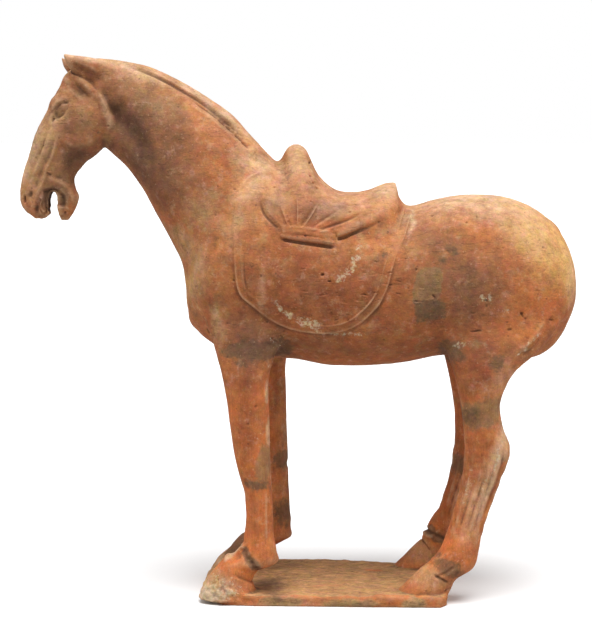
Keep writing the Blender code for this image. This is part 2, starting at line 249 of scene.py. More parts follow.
# %% Saddle and slab
SADDLE = [                                      # along the back: top (x, z), bottom (x, z), half width
    (-14, 283, -14, 240, 20, 2.0, 0.2),
    (-9.2, 291.5, -9, 230, 29, 1.9, 0.45),
    (-4.8, 298.3, -4.5, 222, 36.5, 1.8, 0.5),
    (0.6, 300.2, 1, 216, 40, 1.75, 0.48),       # pommel
    (6, 297.5, 6, 214, 41.5, 1.75, 0.42),
    (10, 290, 10, 213, 42, 1.85, 0.3),
    (16, 278.5, 16, 212, 42.5, 2.0, 0.12),
    (26, 270.4, 26, 212, 42.5, 2.15, 0.0),
    (37, 268.6, 37, 212, 42.5, 2.2, 0.0),       # seat
    (47, 269.6, 47, 213, 42, 2.2, 0.0),
    (55, 272.6, 55, 216, 41, 2.2, 0.05),
    (60, 274.6, 60, 220, 39, 2.2, 0.1),
    (64.4, 275.0, 64.6, 226, 34, 2.2, 0.1),     # cantle
    (66.2, 274.6, 66.8, 232, 29, 2.1, 0.1),
    (67.6, 269.5, 68.4, 240, 22, 2.0, 0.1),
    (69.6, 261.5, 70.2, 250, 12, 2.0, 0.1),
]
SLAB_TOP = 7.5
# The slab's outline from above, as x and y.
SLAB = [(-63.5, -40), (-58, -46.5), (-46, -50.5), (-30, -52.5), (40, -55), (95.5, -57.4), (99.0, -52),
        (99.4, -40), (99.5, 38), (95, 41), (74, 43), (50, 48), (26, 54), (0, 56.5), (-30, 55), (-50, 47),
        (-57, 37), (-61, 22)]
SLAB_MIDDLE = 20          # about the middle of its length
SLAB_ROUND = 2.2          # its edges are rounded by this much

# %% [markdown]
# ## Distance fields
#
# OpenVDB comes with Blender: it is what the Remesh modifier uses inside. It turns a closed skin into a
# level set, which is copied here into a plain block of numbers, one for each cell of clay.

# %% The block of clay
CELL = 0.75     # size of a cell of clay
LOW = np.floor(np.array([-193.0, -63.0, -7.0]) / CELL).astype(int)
HIGH = np.ceil(np.array([195.0, 63.0, 369.0]) / CELL).astype(int)
REACH = 9.0                            # how far from a skin its field is worked out
GRID = openvdb.createLinearTransform(voxelSize=CELL)


def field_of(points, triangles):
    """The first cell and the block of distances round one closed skin, below zero inside."""
    grid = openvdb.FloatGrid.createLevelSetFromPolygons(
        points.astype(np.float32), triangles=triangles.astype(np.uint32),
        transform=GRID, halfWidth=REACH / CELL)
    first = np.maximum(np.floor((points.min(0) - REACH) / CELL).astype(int), LOW)
    end = np.minimum(np.ceil((points.max(0) + REACH) / CELL).astype(int), HIGH)
    block = np.empty(end - first, np.float32)
    grid.copyToArray(block, ijk=tuple(int(v) for v in first))
    return first, block


clay = np.full(HIGH - LOW, REACH, np.float32)
print("cells of clay:", clay.shape)


# %% Press on and cut away
def region(first, block):
    """The part of the clay that a block covers."""
    start = first - LOW
    return tuple(slice(s, s + n) for s, n in zip(start, block.shape))


def press_on(skin, fillet, swell=0.0):
    """Adds a mass to the clay, with a fillet of that radius where they meet. A swollen skin gets
    round edges."""
    first, block = field_of(*skin)
    block -= swell
    here = region(first, block)
    old = clay[here]
    share = np.clip(0.5 + 0.5 * (old - block) / fillet, 0, 1)
    clay[here] = old + (block - old) * share - fillet * share * (1 - share)


def cut_away(skin, fillet):
    """Takes a mass out of the clay, with its edges rounded by that radius."""
    first, block = field_of(*skin)
    here = region(first, block)
    old, tool = clay[here], -block
    share = np.clip(0.5 - 0.5 * (old - tool) / fillet, 0, 1)
    clay[here] = old + (tool - old) * share + fillet * share * (1 - share)


# %% A plate cut from an outline
def plate(outline, low, high, axis):
    """Points and triangles of a straight-sided plate: the outline, carried from low to high."""
    flat = np.array(outline, float)
    count = len(flat)
    place = {"Y": (0, 2, 1), "Z": (0, 1, 2)}[axis]
    points = np.zeros((2 * count + 2, 3))
    for start, level in ((0, low), (count, high)):
        points[start:start + count, place[0]] = flat[:, 0]
        points[start:start + count, place[1]] = flat[:, 1]
        points[start:start + count, place[2]] = level
    points[2 * count] = points[:count].mean(0)
    points[2 * count + 1] = points[count:2 * count].mean(0)
    here = np.arange(count)
    there = (here + 1) % count
    walls = [np.column_stack([here, there, there + count]),
             np.column_stack([here, there + count, here + count])]
    ends = [np.column_stack([there, here, here * 0 + 2 * count]),
            np.column_stack([here + count, there + count, here * 0 + 2 * count + 1])]
    return points, np.vstack(walls + ends)


# %% Lean the legs
def lean_in(points):
    """Leans a leg in towards the centre plane above the belly, so that it grows out of the trunk."""
    above = np.clip(points[:, 2] - BELLY, 0, None)
    points[:, 1] -= np.sign(points[:, 1].mean()) * LEG_LEAN * above
    return points


def step_back(points):
    """Sets the right foreleg back, its front less and less down the hoof, so that its toe stays in line."""
    x, z = points[:, 0], points[:, 2]
    front = np.clip((x.mean() - x) / 10.0 + 0.5, 0, 1)
    full = np.interp(z, (2, 14, 200), (0, RIGHT_FORELEG_BACK, RIGHT_FORELEG_BACK))
    heights = (2, 9, 13, 20, 28, 33, 40, 50)
    toe = np.interp(z, heights, (3.6, 5.6, 5.9, 9.4, 8.9, 7.0, 8.8, RIGHT_FORELEG_BACK))
    heel = np.clip((x + 28.0) / 12.0, 0, 1) * np.clip(1 - ((z - 26.0) / 14.0) ** 2, 0, 1)
    points[:, 0] += full + front * (toe - full) - 2.0 * heel
    points[:, 2] += 1.2 * heel
    return lean_in(points)


def full_fetlock(points):
    """The right hind leg has a thicker fetlock than the left, and a slightly shorter toe."""
    x, z = points[:, 0], points[:, 2]
    front = np.clip((x.mean() - x) / 10.0, 0, 1)
    fetlock = np.clip(1 - ((z - 37.0) / 11.0) ** 2, 0, 1)
    toe = np.clip(1 - ((z - 14.0) / 14.0) ** 2, 0, 1)
    points[:, 0] += front * (1.4 * toe - 3.6 * fetlock)
    return lean_in(points)


def close_up(points):
    """Brings an ear in towards the centre plane behind EAR_BACK, so that its root runs into the neck."""
    points[:, 1] *= 1 - 0.45 * np.clip((points[:, 0] - EAR_BACK) / 16.0, 0, 1)
    return points


def far_ear(points):
    """The right ear leans a little further forward than the left."""
    return close_up(points) + np.array([-3.4, 0.0, -1.8])

# %% [markdown]
# ## Putting the masses together
#
# The order is the potter's: trunk, neck, legs, then head, ears and saddle. The neck, the legs and the
# saddle run into the trunk with wide fillets. The head keeps a crisp edge behind the cheek, so its fillet
# is small. The trunk comes first and has nothing to run into, so its fillet doesn't matter.

# %% Press the masses together
# The radius of the fillet, or of the rounded edge, that each mass or cut leaves.
FILLET = {"trunk": 0.5, "neck": 8.0, "foreleg": 6.0, "hind leg": 7.0, "head": 2.0, "ear": 2.2,
          "saddle": 5.5, "slab": 1.5, "mouth": 1.0, "upper roll": 2.8, "lower roll": 1.3,
          "ear hollow": 1.6, "worn corner": 1.2}
UNDER_FLOOR = -5.0        # the slab starts below the floor, and is cut off flat later
MOUTH_CUT = 30.0          # the mouth is cut through this far to each side

press_on(loft(TRUNK), FILLET["trunk"])
press_on(loft(NECK), FILLET["neck"])
for side, shift in zip(FORELEG_SIDES, (lean_in, step_back)):
    press_on(loft(FORELEG, side, shift), FILLET["foreleg"])
for side, shift in zip(HINDLEG_SIDES, (lean_in, full_fetlock)):
    press_on(loft(HINDLEG, side, shift), FILLET["hind leg"])
press_on(loft(HEAD), FILLET["head"])
press_on(loft(EAR, -EAR_SIDE, close_up), FILLET["ear"])
press_on(loft(EAR, EAR_SIDE, far_ear), FILLET["ear"])
press_on(loft(SADDLE), FILLET["saddle"])
inner_slab = [(x - math.copysign(SLAB_ROUND, x - SLAB_MIDDLE), y - math.copysign(SLAB_ROUND, y))
              for x, y in SLAB]
press_on(plate(inner_slab, UNDER_FLOOR, SLAB_TOP - SLAB_ROUND, "Z"), FILLET["slab"], swell=SLAB_ROUND)
cut_away(plate(MOUTH, -MOUTH_CUT, MOUTH_CUT, "Y"), FILLET["mouth"])

# %% [markdown]
# The saddle cover is a cloth. Where it hangs down it is gathered and rolled into a bundle of two thick
# folds, tied under the saddle on each flank. Two short rolls of clay make it.

# %% The rolled bundle
UPPER_ROLL = [(-9.0, 245.2, 1.0), (-7.4, 245.0, 2.0), (6.0, 244.1, 2.0), (18.0, 242.6, 2.0),
              (24.6, 241.5, 1.1)]
LOWER_ROLL = [(-10.2, 241.9, 1.0), (-8.6, 241.8, 1.9), (8.0, 239.8, 2.4), (20.0, 238.1, 2.3),
              (25.6, 237.0, 1.2)]
UPPER_OUT, LOWER_OUT = 45.1, 45.7       # how far out from the centre plane they lie


def roll(line):
    """The rings of one roll of cloth, given as x, z and radius along it."""
    return [(x, z + thick, x, z - thick, thick, 2.2, 0.0) for x, z, thick in line]


for side in BOTH:
    press_on(loft(roll(UPPER_ROLL), side * UPPER_OUT), FILLET["upper roll"])
    press_on(loft(roll(LOWER_ROLL), side * LOWER_OUT), FILLET["lower roll"])

# %% [markdown]
# The ears are pricked forward and lie almost level. Each is hollow on its outer lower side, so a small
# pointed form is pressed into it and taken away again.

# %% Hollow the ears
EAR_HOLLOW = [(-148.3, 355.6, -148.7, 353.8, 0.9, 2.0, 0.0), (-144.0, 353.8, -145.6, 348.8, 2.6, 2.0, 0.0),
              (-138.4, 351.2, -140.8, 344.0, 3.6, 2.0, 0.0), (-132.2, 347.8, -134.8, 340.8, 3.8, 2.0, 0.0),
              (-127.4, 343.6, -128.8, 339.8, 1.8, 2.0, 0.0)]
EAR_HOLLOW_OUT = 14.9     # how far out from the centre plane it is pressed in
for side in BOTH:
    cut_away(loft(EAR_HOLLOW, side * EAR_HOLLOW_OUT), FILLET["ear hollow"])

# %% The worn corner of the slab
WORN_CORNER = [(-75, -8), (-75, 4.6), (-62, 2.6), (-46, -0.6), (-46, -8)]
WORN_FROM, WORN_TO = -75.0, -22.0       # along Y: from outside the slab to under the left hoof
cut_away(plate(WORN_CORNER, WORN_FROM, WORN_TO, "Y"), FILLET["worn corner"])

# %% The flat underside
floor_depth = -np.arange(LOW[2], HIGH[2]) * CELL
clay[:] = np.maximum(clay, floor_depth[None, None, :].astype(np.float32))
print("deepest clay in mm:", round(float(-clay.min()), 1))

# %% [markdown]
# ## From the field to a mesh
#
# OpenVDB also walks through the block and lays a quad wherever the distance passes through zero.

# %% Lay the skin
def lay_skin():
    """Points and quads of the clay's surface, in millimetres."""
    grid = openvdb.FloatGrid(REACH)
    grid.copyFromArray(clay, ijk=tuple(int(v) for v in LOW))
    grid.transform = GRID
    points, quads = grid.convertToQuads(0.0)
    return points.astype(float), quads.astype(np.int64)


def mesh_from(name, points, faces):
    """A Blender mesh from arrays of points and of faces that all have the same number of corners."""
    corners = faces.shape[1]
    mesh = bpy.data.meshes.new(name)
    mesh.vertices.add(len(points))
    mesh.vertices.foreach_set("co", points.astype(np.float32).ravel())
    mesh.loops.add(faces.size)
    mesh.loops.foreach_set("vertex_index", faces.astype(np.int32).ravel())
    mesh.polygons.add(len(faces))
    mesh.polygons.foreach_set("loop_start", np.arange(len(faces), dtype=np.int32) * corners)
    mesh.polygons.foreach_set("loop_total", np.full(len(faces), corners, np.int32))
    mesh.update(calc_edges=True)
    return mesh


skin_points, skin_quads = lay_skin()
horse_mesh = mesh_from("pottery_horse", skin_points, skin_quads)
print("skin:", len(skin_points), "points and", len(skin_quads), "quads")
del clay

# %% [markdown]
# ## Tools for the surface
#
# From here the surface itself is worked, as a potter works a leather-hard horse with a wooden point and
# a thumb. Every tool below adds to a *lift*, the distance that each point will move along its normal.
# The moulds were made of two halves, left and right, so most marks are given once, from the side, as
# (x, z), and are pressed into both flanks.

# %% The worked surface
class Skin:
    """The surface points while they are worked, their normals, and how far each will be lifted."""

    def __init__(self, mesh):
        self.mesh = mesh
        self.look()

    def look(self):
        """Reads the points and normals from the mesh again, and starts with no lift."""
        count = len(self.mesh.vertices)
        points, normals = np.empty(count * 3, np.float32), np.empty(count * 3, np.float32)
        self.mesh.vertices.foreach_get("co", points)
        self.mesh.vertex_normals.foreach_get("vector", normals)
        self.points = points.reshape(-1, 3).astype(float)
        self.normals = normals.reshape(-1, 3).astype(float)
        self.lift = np.zeros(count)

    def press(self):
        """Moves every point along its normal by its lift, but leaves the flat underside flat."""
        free = smooth((self.points[:, 2] - 0.3) / 2.0)
        moved = self.points + self.normals * (self.lift * free)[:, None]
        moved[:, 2] = np.maximum(moved[:, 2], 0.0)
        self.mesh.vertices.foreach_set("co", moved.astype(np.float32).ravel())
        self.mesh.update()
        self.look()


def smooth(t):
    """An S-shaped step from 0 to 1."""
    t = np.clip(t, 0, 1)
    return t * t * (3 - 2 * t)


def bell(t):
    """A round hump: 1 at 0, and 0 from 1 on."""
    return np.clip(1 - t * t, 0, 1) ** 2


# %% Finding a line on a flank
def near_line(skin, line, reach, side):
    """The points within reach of a line on one flank: rows, distance, place along it, and offset across it.
    The offset is above zero on the left of the line."""
    line = curve_through(line, 6)
    low, high = line.min(0) - reach, line.max(0) + reach
    x, y, z = skin.points.T
    rows = np.nonzero((x > low[0]) & (x < high[0]) & (z > low[1]) & (z < high[1]) & (y * side > 0))[0]
    spots = skin.points[rows][:, [0, 2]]
    lengths = np.hypot(*(line[1:] - line[:-1]).T)
    starts = np.concatenate([[0], np.cumsum(lengths)])
    nearest, along, across = np.full(len(rows), np.inf), np.zeros(len(rows)), np.zeros(len(rows))
    for a, b, start, length in zip(line[:-1], line[1:], starts, lengths):
        run = (b - a) / length
        part = np.clip((spots - a) @ run, 0, length)
        gap = spots - a - part[:, None] * run
        away = np.hypot(gap[:, 0], gap[:, 1])
        nearer = away < nearest
        nearest[nearer] = away[nearer]
        along[nearer] = (start + part[nearer]) / starts[-1]
        across[nearer] = (run[0] * gap[:, 1] - run[1] * gap[:, 0])[nearer]
    close = nearest < reach
    return rows[close], nearest[close], along[close], across[close]


# %% Lines, shelves and dabs
def fade(along, ends):
    """Fades a mark out over a share of its length at its start and at its end."""
    start, end = ends
    return smooth(along / max(start, 1e-6)) * smooth((1 - along) / max(end, 1e-6))


def draw(skin, line, width, height, ends=(0.2, 0.2), sides=BOTH):
    """A ridge along a line, or a groove if the height is below zero."""
    for side in sides:
        rows, away, along, _ = near_line(skin, line, width, side)
        skin.lift[rows] += height * bell(away / width) * fade(along, ends)


def shelf(skin, line, edge, spread, height, ends=(0.2, 0.2)):
    """Lifts the left of a line: sharply over the edge, then less and less over the spread."""
    for side in BOTH:
        rows, _, along, across = near_line(skin, line, spread, side)
        rise = smooth(across / edge * 0.5 + 0.5)
        skin.lift[rows] += height * rise * bell(np.clip(across, 0, None) / spread) * fade(along, ends)


def oval(points, middle, long, short, turn):
    """How far each point lies from the middle of a tilted oval: 1 on its edge. The turn is in degrees."""
    angle = math.radians(turn)
    x, z = points[:, 0] - middle[0], points[:, 2] - middle[1]
    along = (x * math.cos(angle) + z * math.sin(angle)) / long
    across = (z * math.cos(angle) - x * math.sin(angle)) / short
    return np.hypot(along, across)


def dab(skin, middle, long, short, turn, height, sides=BOTH):
    """A round hump, or a hollow if the height is below zero."""
    hump = height * bell(oval(skin.points, middle, long, short, turn))
    for side in sides:
        skin.lift += np.where(skin.points[:, 1] * side > 0, hump, 0)


# %% Areas with an outline
def depth_inside(x, z, outline):
    """How deep each (x, z) lies inside a closed outline; outside it the depth is below zero."""
    inside = np.zeros(len(x), bool)
    nearest = np.full(len(x), np.inf)
    for (x1, z1), (x2, z2) in zip(outline, np.roll(outline, -1, axis=0)):
        along_x, along_z = x2 - x1, z2 - z1
        part = np.clip(((x - x1) * along_x + (z - z1) * along_z) / (along_x ** 2 + along_z ** 2), 0, 1)
        nearest = np.minimum(nearest, np.hypot(x - x1 - part * along_x, z - z1 - part * along_z))
        if z1 != z2:
            crosses = (z1 > z) != (z2 > z)
            inside ^= crosses & (x < x1 + (z - z1) / along_z * along_x)
    return np.where(inside, nearest, -nearest)


# %% [markdown]
# Hand-made clay is never quite even. A block of random numbers, read smoothly in between, gives soft
# lumps of any size. The seed makes them the same on every run.

# %% Lumps
def between_cells(block, cell, part):
    """Reads a block a part of the way from each cell to the next, along every axis."""
    found = np.zeros(len(cell))
    for corner in np.ndindex(2, 2, 2):
        share = np.prod(np.where(corner, part, 1 - part), axis=1)
        found += share * block[tuple((cell + corner).T)]
    return found


def lumps(points, size, seed):
    """Soft random lumps between about -1 and 1, of that size in millimetres."""
    place = points / size
    low = np.floor(place.min(0)).astype(int)
    shape = np.floor(place.max(0)).astype(int) - low + 2
    block = np.random.default_rng(seed).uniform(-1, 1, shape)
    cell = np.floor(place).astype(int)
    return between_cells(block, cell - low, smooth(place - cell))


# %% [markdown]
# ## Broad forms
#
# First come the forms that are wider than a finger: the hollow behind the cheek, the windpipe, the
# muscles of the shoulder and thigh, and an overall unevenness.

# %% Broad forms of the head and neck
skin = Skin(horse_mesh)
if (skin.points[:, 2] * skin.normals[:, 2]).mean() < 0:
    horse_mesh.flip_normals()
    skin.look()

CHEEK_EDGE = [(-131.1, 337.5), (-127.8, 333.3), (-125.2, 328.0), (-122.6, 322.7), (-121.0, 317.3),
              (-121.2, 313.0), (-123.4, 309.0), (-126.0, 304.7), (-129.3, 300.0)]
NECK_HOLLOW = [(-122.0, 331.0), (-118.5, 325.5), (-114.5, 319.5), (-110.5, 313.3), (-105.0, 305.6),
               (-99.2, 297.0), (-93.0, 287.6), (-88.0, 279.0)]
WINDPIPE = [(-119.5, 311.0), (-114.0, 305.0), (-107.5, 296.5), (-99.5, 286.0), (-91.5, 273.5),
            (-84.0, 260.0), (-76.5, 241.0)]
shelf(skin, CHEEK_EDGE, 1.6, 12.0, -2.8, ends=(0.2, 0.5))
CHEEK_RIM = [(x - 2.4, z - 0.4) for x, z in CHEEK_EDGE]
draw(skin, CHEEK_RIM, 3.6, 0.45, ends=(0.1, 0.5))
DEEP_HOLLOW = [(-123.0, 331.0), (-120.0, 323.5), (-114.5, 316.0), (-108.5, 308.5), (-103.5, 301.5),
               (-98.0, 293.0), (-92.0, 283.0)]
draw(skin, NECK_HOLLOW, 18.0, -2.8, ends=(0.15, 0.5))
draw(skin, DEEP_HOLLOW, 9.5, -1.8, ends=(0.15, 0.5))
draw(skin, WINDPIPE, 5.5, 0.7, ends=(0.3, 0.4))
dab(skin, (-138.0, 317.0), 17.0, 15.0, 0, 0.9)          # cheek
dab(skin, (-144.0, 292.5), 13.0, 7.0, 30, -1.8)         # hollow below the cheek

# %% Broad forms of the body
dab(skin, (-56.0, 262.0), 40.0, 16.0, 68, -1.6)         # valley between neck and shoulder
dab(skin, (-30.0, 226.0), 42.0, 17.0, 80, 1.0)          # shoulder
dab(skin, (-58.0, 205.0), 24.0, 10.0, 72, 0.8)          # breast
dab(skin, (100.0, 232.0), 22.0, 30.0, 80, -1.1)         # flank before the thigh
dab(skin, (144.0, 216.0), 34.0, 26.0, 60, 1.0)          # thigh
dab(skin, (128.0, 138.0), 26.0, 10.0, 80, 0.7)          # gaskin
dab(skin, (173.0, 247.0), 9.0, 5.0, -50, 0.8)           # a slight corner where the tail would start
skin.lift += 0.42 * lumps(skin.points, 24.0, 11) + 0.22 * lumps(skin.points, 11.0, 12)
skin.press()
print("broad forms done")

# %% [markdown]
# ## The saddle cloth and its cover
#
# A low oval cloth lies under the saddle, with a border between two raised cords. The saddle itself is
# covered by a soft cloth whose folds fan out from the rolled bundle.

# %% Outlines of the cloth, the cover and the bundle
CLOTH = curve_through(
    [(-16, 300), (-20.5, 286), (-32, 279.5), (-38.5, 269), (-41.0, 256), (-41.0, 232), (-39.4, 212),
     (-36.1, 202.6), (-29.6, 196.8), (-21.9, 190.2), (-13.5, 184.6), (-3.9, 180.6), (4.5, 178.8),
     (15.5, 177.9), (25.1, 178.3), (33.5, 180.5), (41.2, 184.7), (46.2, 189.1), (50.8, 193.8),
     (55.2, 199.7), (59.0, 207.4), (61.0, 214.1), (63.6, 223.6), (67.3, 233.3), (70.7, 239.7),
     (74.2, 249.4), (77.2, 259.1), (78, 300)], 4)
COVER = [(-20, 300), (-23.6, 276), (-22.6, 265), (-19.6, 257), (-14.8, 251.6), (-10.4, 247.0), (5.0, 245.3),
         (25.0, 242.9), (26.0, 240.2), (35.5, 243.4), (40.1, 245.2), (45.3, 247), (55, 251.8), (61.6, 255),
         (67, 258.5), (70.5, 262), (73, 280), (73, 300)]
BUNDLE = [(-10.6, 247.0), (-10.6, 239.6), (2.9, 237.1), (19.2, 234.8), (26.0, 233.8), (26.2, 238.0),
          (23.8, 243.0), (5.0, 246.2)]
CLOTH_THICK = 0.85
BORDER_NARROW, BORDER_WIDE = 4.0, 4.8     # from cord to cord, at the front and at the back
CORD = 1.0                                # half width of a raised cord


# %% Raise the cloth and the cover
def raise_cloths(skin):
    """Lifts the saddle cloth, and above it the cover, away from the flanks. The bundle stays as it is."""
    x, y, z = skin.points.T
    flank = smooth((np.abs(y) - 9) / 12)
    cloth = smooth(depth_inside(x, z, CLOTH) / 2.2) * (0.45 + 0.55 * smooth((248 - z) / 40))
    thick = (0.8 + 0.8 * smooth((262 - z) / 14) * bell((x - 32) / 13)) * smooth((60 - x) / 20)
    cover = smooth(depth_inside(x, z, COVER) / (1.1 + 3.0 * smooth((z - 256) / 14)))
    free = smooth(0.5 - depth_inside(x, z, BUNDLE) / 1.2)
    skin.lift += flank * free * (CLOTH_THICK * cloth + thick * cover)


raise_cloths(skin)
skin.press()

# %% [markdown]
# ## Finer quads where the fine work is
#
# The head and the left flank under the saddle carry marks finer than a millimetre. Their quads are
# divided once, so that the mesh can hold such marks.

# %% Divide the quads of the head and of the saddle
def divide(mesh, wanted):
    """Splits each face whose middle is wanted into four. wanted(x, y, z) gives True or False for arrays."""
    middles = np.empty(len(mesh.polygons) * 3, np.float32)
    mesh.polygons.foreach_get("center", middles)
    chosen = wanted(*middles.reshape(-1, 3).T)
    bm = bmesh.new()
    bm.from_mesh(mesh)
    bm.faces.ensure_lookup_table()
    edges = {edge for row in np.nonzero(chosen)[0] for edge in bm.faces[row].edges}
    bmesh.ops.subdivide_edges(bm, edges=list(edges), cuts=1, use_grid_fill=True, smooth=0.0)
    bm.to_mesh(mesh)
    bm.free()
    return int(chosen.sum())


def fine_work(x, y, z):
    """True on the head, and on the left flank about the saddle."""
    head = (x < -119) & (z > 248)
    saddle = (y < -12) & (x > -45) & (x < 82) & (z > 173) & (z < 282)
    return head | saddle


print("faces divided:", divide(horse_mesh, fine_work))
skin.look()

# %% [markdown]
# ## The face
#
# The face is modelled with a pointed tool: an almond eye set on a slant, a brow ridge above it, three
# long ridges down the nose with a groove between the last two, a slit nostril, and open lips that show
# the teeth.

# %% Brow and forelock
FORELOCK = [(-150.2, 345.4), (-147.0, 345.6), (-142.6, 343.2), (-138.6, 339.4), (-135.2, 335.2),
            (-132.6, 331.0)]
BROW = [(-157.2, 333.2), (-152.4, 334.8), (-147.4, 334.2), (-142.0, 331.6), (-136.4, 328.6)]
draw(skin, FORELOCK, 3.9, 2.0, ends=(0.15, 0.4))
draw(skin, [(-148.4, 339.6), (-143.6, 338.8), (-139.6, 336.0), (-135.7, 331.6)], 1.4, -0.4, ends=(0.3, 0.3))
draw(skin, [(x + 3.4, z + 3.0) for x, z in FORELOCK[2:]], 2.4, -0.5, ends=(0.3, 0.3))
draw(skin, [(-150.4, 343.6), (-152.2, 340.6)], 2.8, 0.6)
dab(skin, (-141.8, 335.0), 9.5, 4.6, -36, -1.6)         # hollow under the lock
dab(skin, (-148.4, 338.6), 4.0, 2.6, -30, -0.6)
draw(skin, BROW[:4], 2.6, 0.4, ends=(0.4, 0.7))
draw(skin, [(-147.6, 348.0), (-143.0, 346.4), (-138.6, 343.4)], 1.4, -0.6, ends=(0.2, 0.5))

# %% Eye
EYE, EYE_TURN = (-154.9, 323.0), 51.0
UPPER_LID = [(-160.4, 318.6), (-160.0, 323.0), (-157.6, 327.8), (-153.6, 330.6), (-149.4, 330.6)]
LOWER_LID = [(-157.8, 316.4), (-153.8, 317.8), (-149.8, 322.0), (-147.6, 327.2)]
from_eye = oval(skin.points, EYE, 8.2, 4.2, EYE_TURN)
from_ball = oval(skin.points, (-154.6, 323.2), 5.6, 3.2, EYE_TURN)
skin.lift -= 1.5 * smooth((1.15 - from_eye) / 0.6)
skin.lift += 1.25 * np.clip(1 - from_ball ** 2, 0, 1) ** 0.8
skin.lift += 0.35 * lumps(skin.points, 2.4, 20) * smooth((1.5 - from_eye) / 0.5)
draw(skin, UPPER_LID, 3.0, 0.5, ends=(0.4, 0.5))
draw(skin, LOWER_LID, 2.6, 0.2, ends=(0.4, 0.4))
dab(skin, (-157.6, 320.9), 2.6, 1.8, 60, -0.5)
dab(skin, (-151.6, 328.0), 3.0, 1.8, 25, -0.4)
draw(skin, [(-159.6, 318.4), (-160.2, 316.0), (-159.8, 313.4)], 1.4, -0.8, ends=(0.2, 0.6))

# %% Ridges and grooves of the nose
RIDGE_FRONT = [(-161.4, 320.0), (-163.6, 314.0), (-167.0, 306.0), (-170.4, 296.4), (-173.6, 288.1),
               (-175.5, 282.1)]
RIDGE_MIDDLE = [(-157.6, 318.0), (-159.7, 312.7), (-162.8, 304.2), (-167.0, 295.0), (-170.6, 286.7),
                (-174.4, 278.6), (-175.9, 271.4), (-176.5, 266.0)]
RIDGE_BACK = [(-152.8, 315.6), (-155.2, 310.4), (-158.0, 302.0), (-161.1, 292.3), (-164.9, 284.2),
              (-167.5, 275.6), (-170.3, 270.1), (-172.6, 263.4), (-173.2, 258.1)]
GROOVE = [(-155.0, 314.6), (-157.4, 308.7), (-159.8, 302.8), (-163.2, 293.3), (-167.6, 285.4),
          (-170.8, 277.0), (-173.2, 270.0)]
draw(skin, RIDGE_FRONT, 1.7, 0.45, ends=(0.5, 0.3))
draw(skin, [(x + 2.0, z - 0.8) for x, z in RIDGE_FRONT[:-1]], 1.2, -0.4, ends=(0.5, 0.3))
draw(skin, RIDGE_MIDDLE, 2.0, 0.65, ends=(0.45, 0.2))
draw(skin, GROOVE, 2.3, -0.65, ends=(0.5, 0.1))
draw(skin, RIDGE_BACK, 1.7, 0.65, ends=(0.45, 0.2))
draw(skin, [(-150.6, 303.6), (-154.6, 294.0), (-158.6, 286.0)], 3.4, -0.5)
CHEEK_UNDER = [(-156.4, 303.0), (-150.0, 299.2), (-143.6, 298.0), (-136.6, 299.8), (-130.0, 304.6)]
shelf(skin, CHEEK_UNDER, 2.6, 9.0, 1.6)

# %% Nostril and lips
MOUTH_INSIDE = curve_through(
    [(-168.0, 270.4), (-162.5, 272.0), (-156.6, 271.0), (-152.8, 267.0), (-151.8, 261.0),
     (-153.6, 258.4), (-157.6, 258.8), (-161.0, 262.0), (-163.0, 256.0), (-166.4, 253.4),
     (-167.2, 259.0), (-167.6, 265.0), (-168.0, 270.4)], 3)
draw(skin, [(-180.2, 267.4), (-180.4, 264.2), (-179.8, 260.8)], 1.2, -1.7, ends=(0.3, 0.3))
dab(skin, (-175.9, 267.6), 3.2, 1.8, 75, -1.3)
inside = smooth(depth_inside(skin.points[:, 0], skin.points[:, 2], MOUTH_INSIDE[:-1]) / 1.6)
skin.lift -= 2.2 * inside
dab(skin, (-172.0, 257.6), 4.2, 1.9, 78, -1.5)          # behind the upper lip
CORNER = [(-166.4, 280.2), (-161.4, 277.4), (-155.4, 274.6), (-150.6, 270.2), (-148.2, 263.6),
          (-149.0, 258.4)]
draw(skin, CORNER, 2.8, 0.8, ends=(0.2, 0.3))
draw(skin, [(-160.0, 279.4), (-154.6, 277.6), (-149.8, 273.8)], 1.4, -0.3)
dab(skin, (-162.6, 280.2), 1.5, 1.0, -10, -0.7)
dab(skin, (-163.6, 282.4), 1.6, 0.9, -30, 0.6)

# %% Teeth and lower lip
TEETH = [(-170.6, 266.2), (-168.2, 264.2), (-169.2, 259.6), (-167.2, 256.0), (-164.8, 257.2)]
draw(skin, TEETH, 0.8, 1.0, ends=(0.2, 0.2))
draw(skin, [(-170.4, 257.8), (-168.6, 253.8)], 0.8, 0.6)
dab(skin, (-155.2, 258.6), 1.7, 1.1, 15, 0.9)
dab(skin, (-151.8, 258.2), 1.4, 1.1, -30, 0.6)
dab(skin, (-153.2, 255.2), 1.7, 1.2, 75, -1.3)
dab(skin, (-155.6, 252.8), 1.2, 1.0, 0, -0.6)
dab(skin, (-166.4, 299.5), 0.9, 0.8, 0, -0.8, sides=(LEFT,))
skin.lift += 0.3 * lumps(skin.points, 2.6, 22) * smooth((-148 - skin.points[:, 0]) / 3) * smooth(
    (274 - skin.points[:, 2]) / 4)
skin.press()

# %% [markdown]
# ## The mane
#
# The mane is clipped. A band of it stands along the crest, marked off by one long incised line on each
# side, which widens into a broken channel and frays out before the saddle.

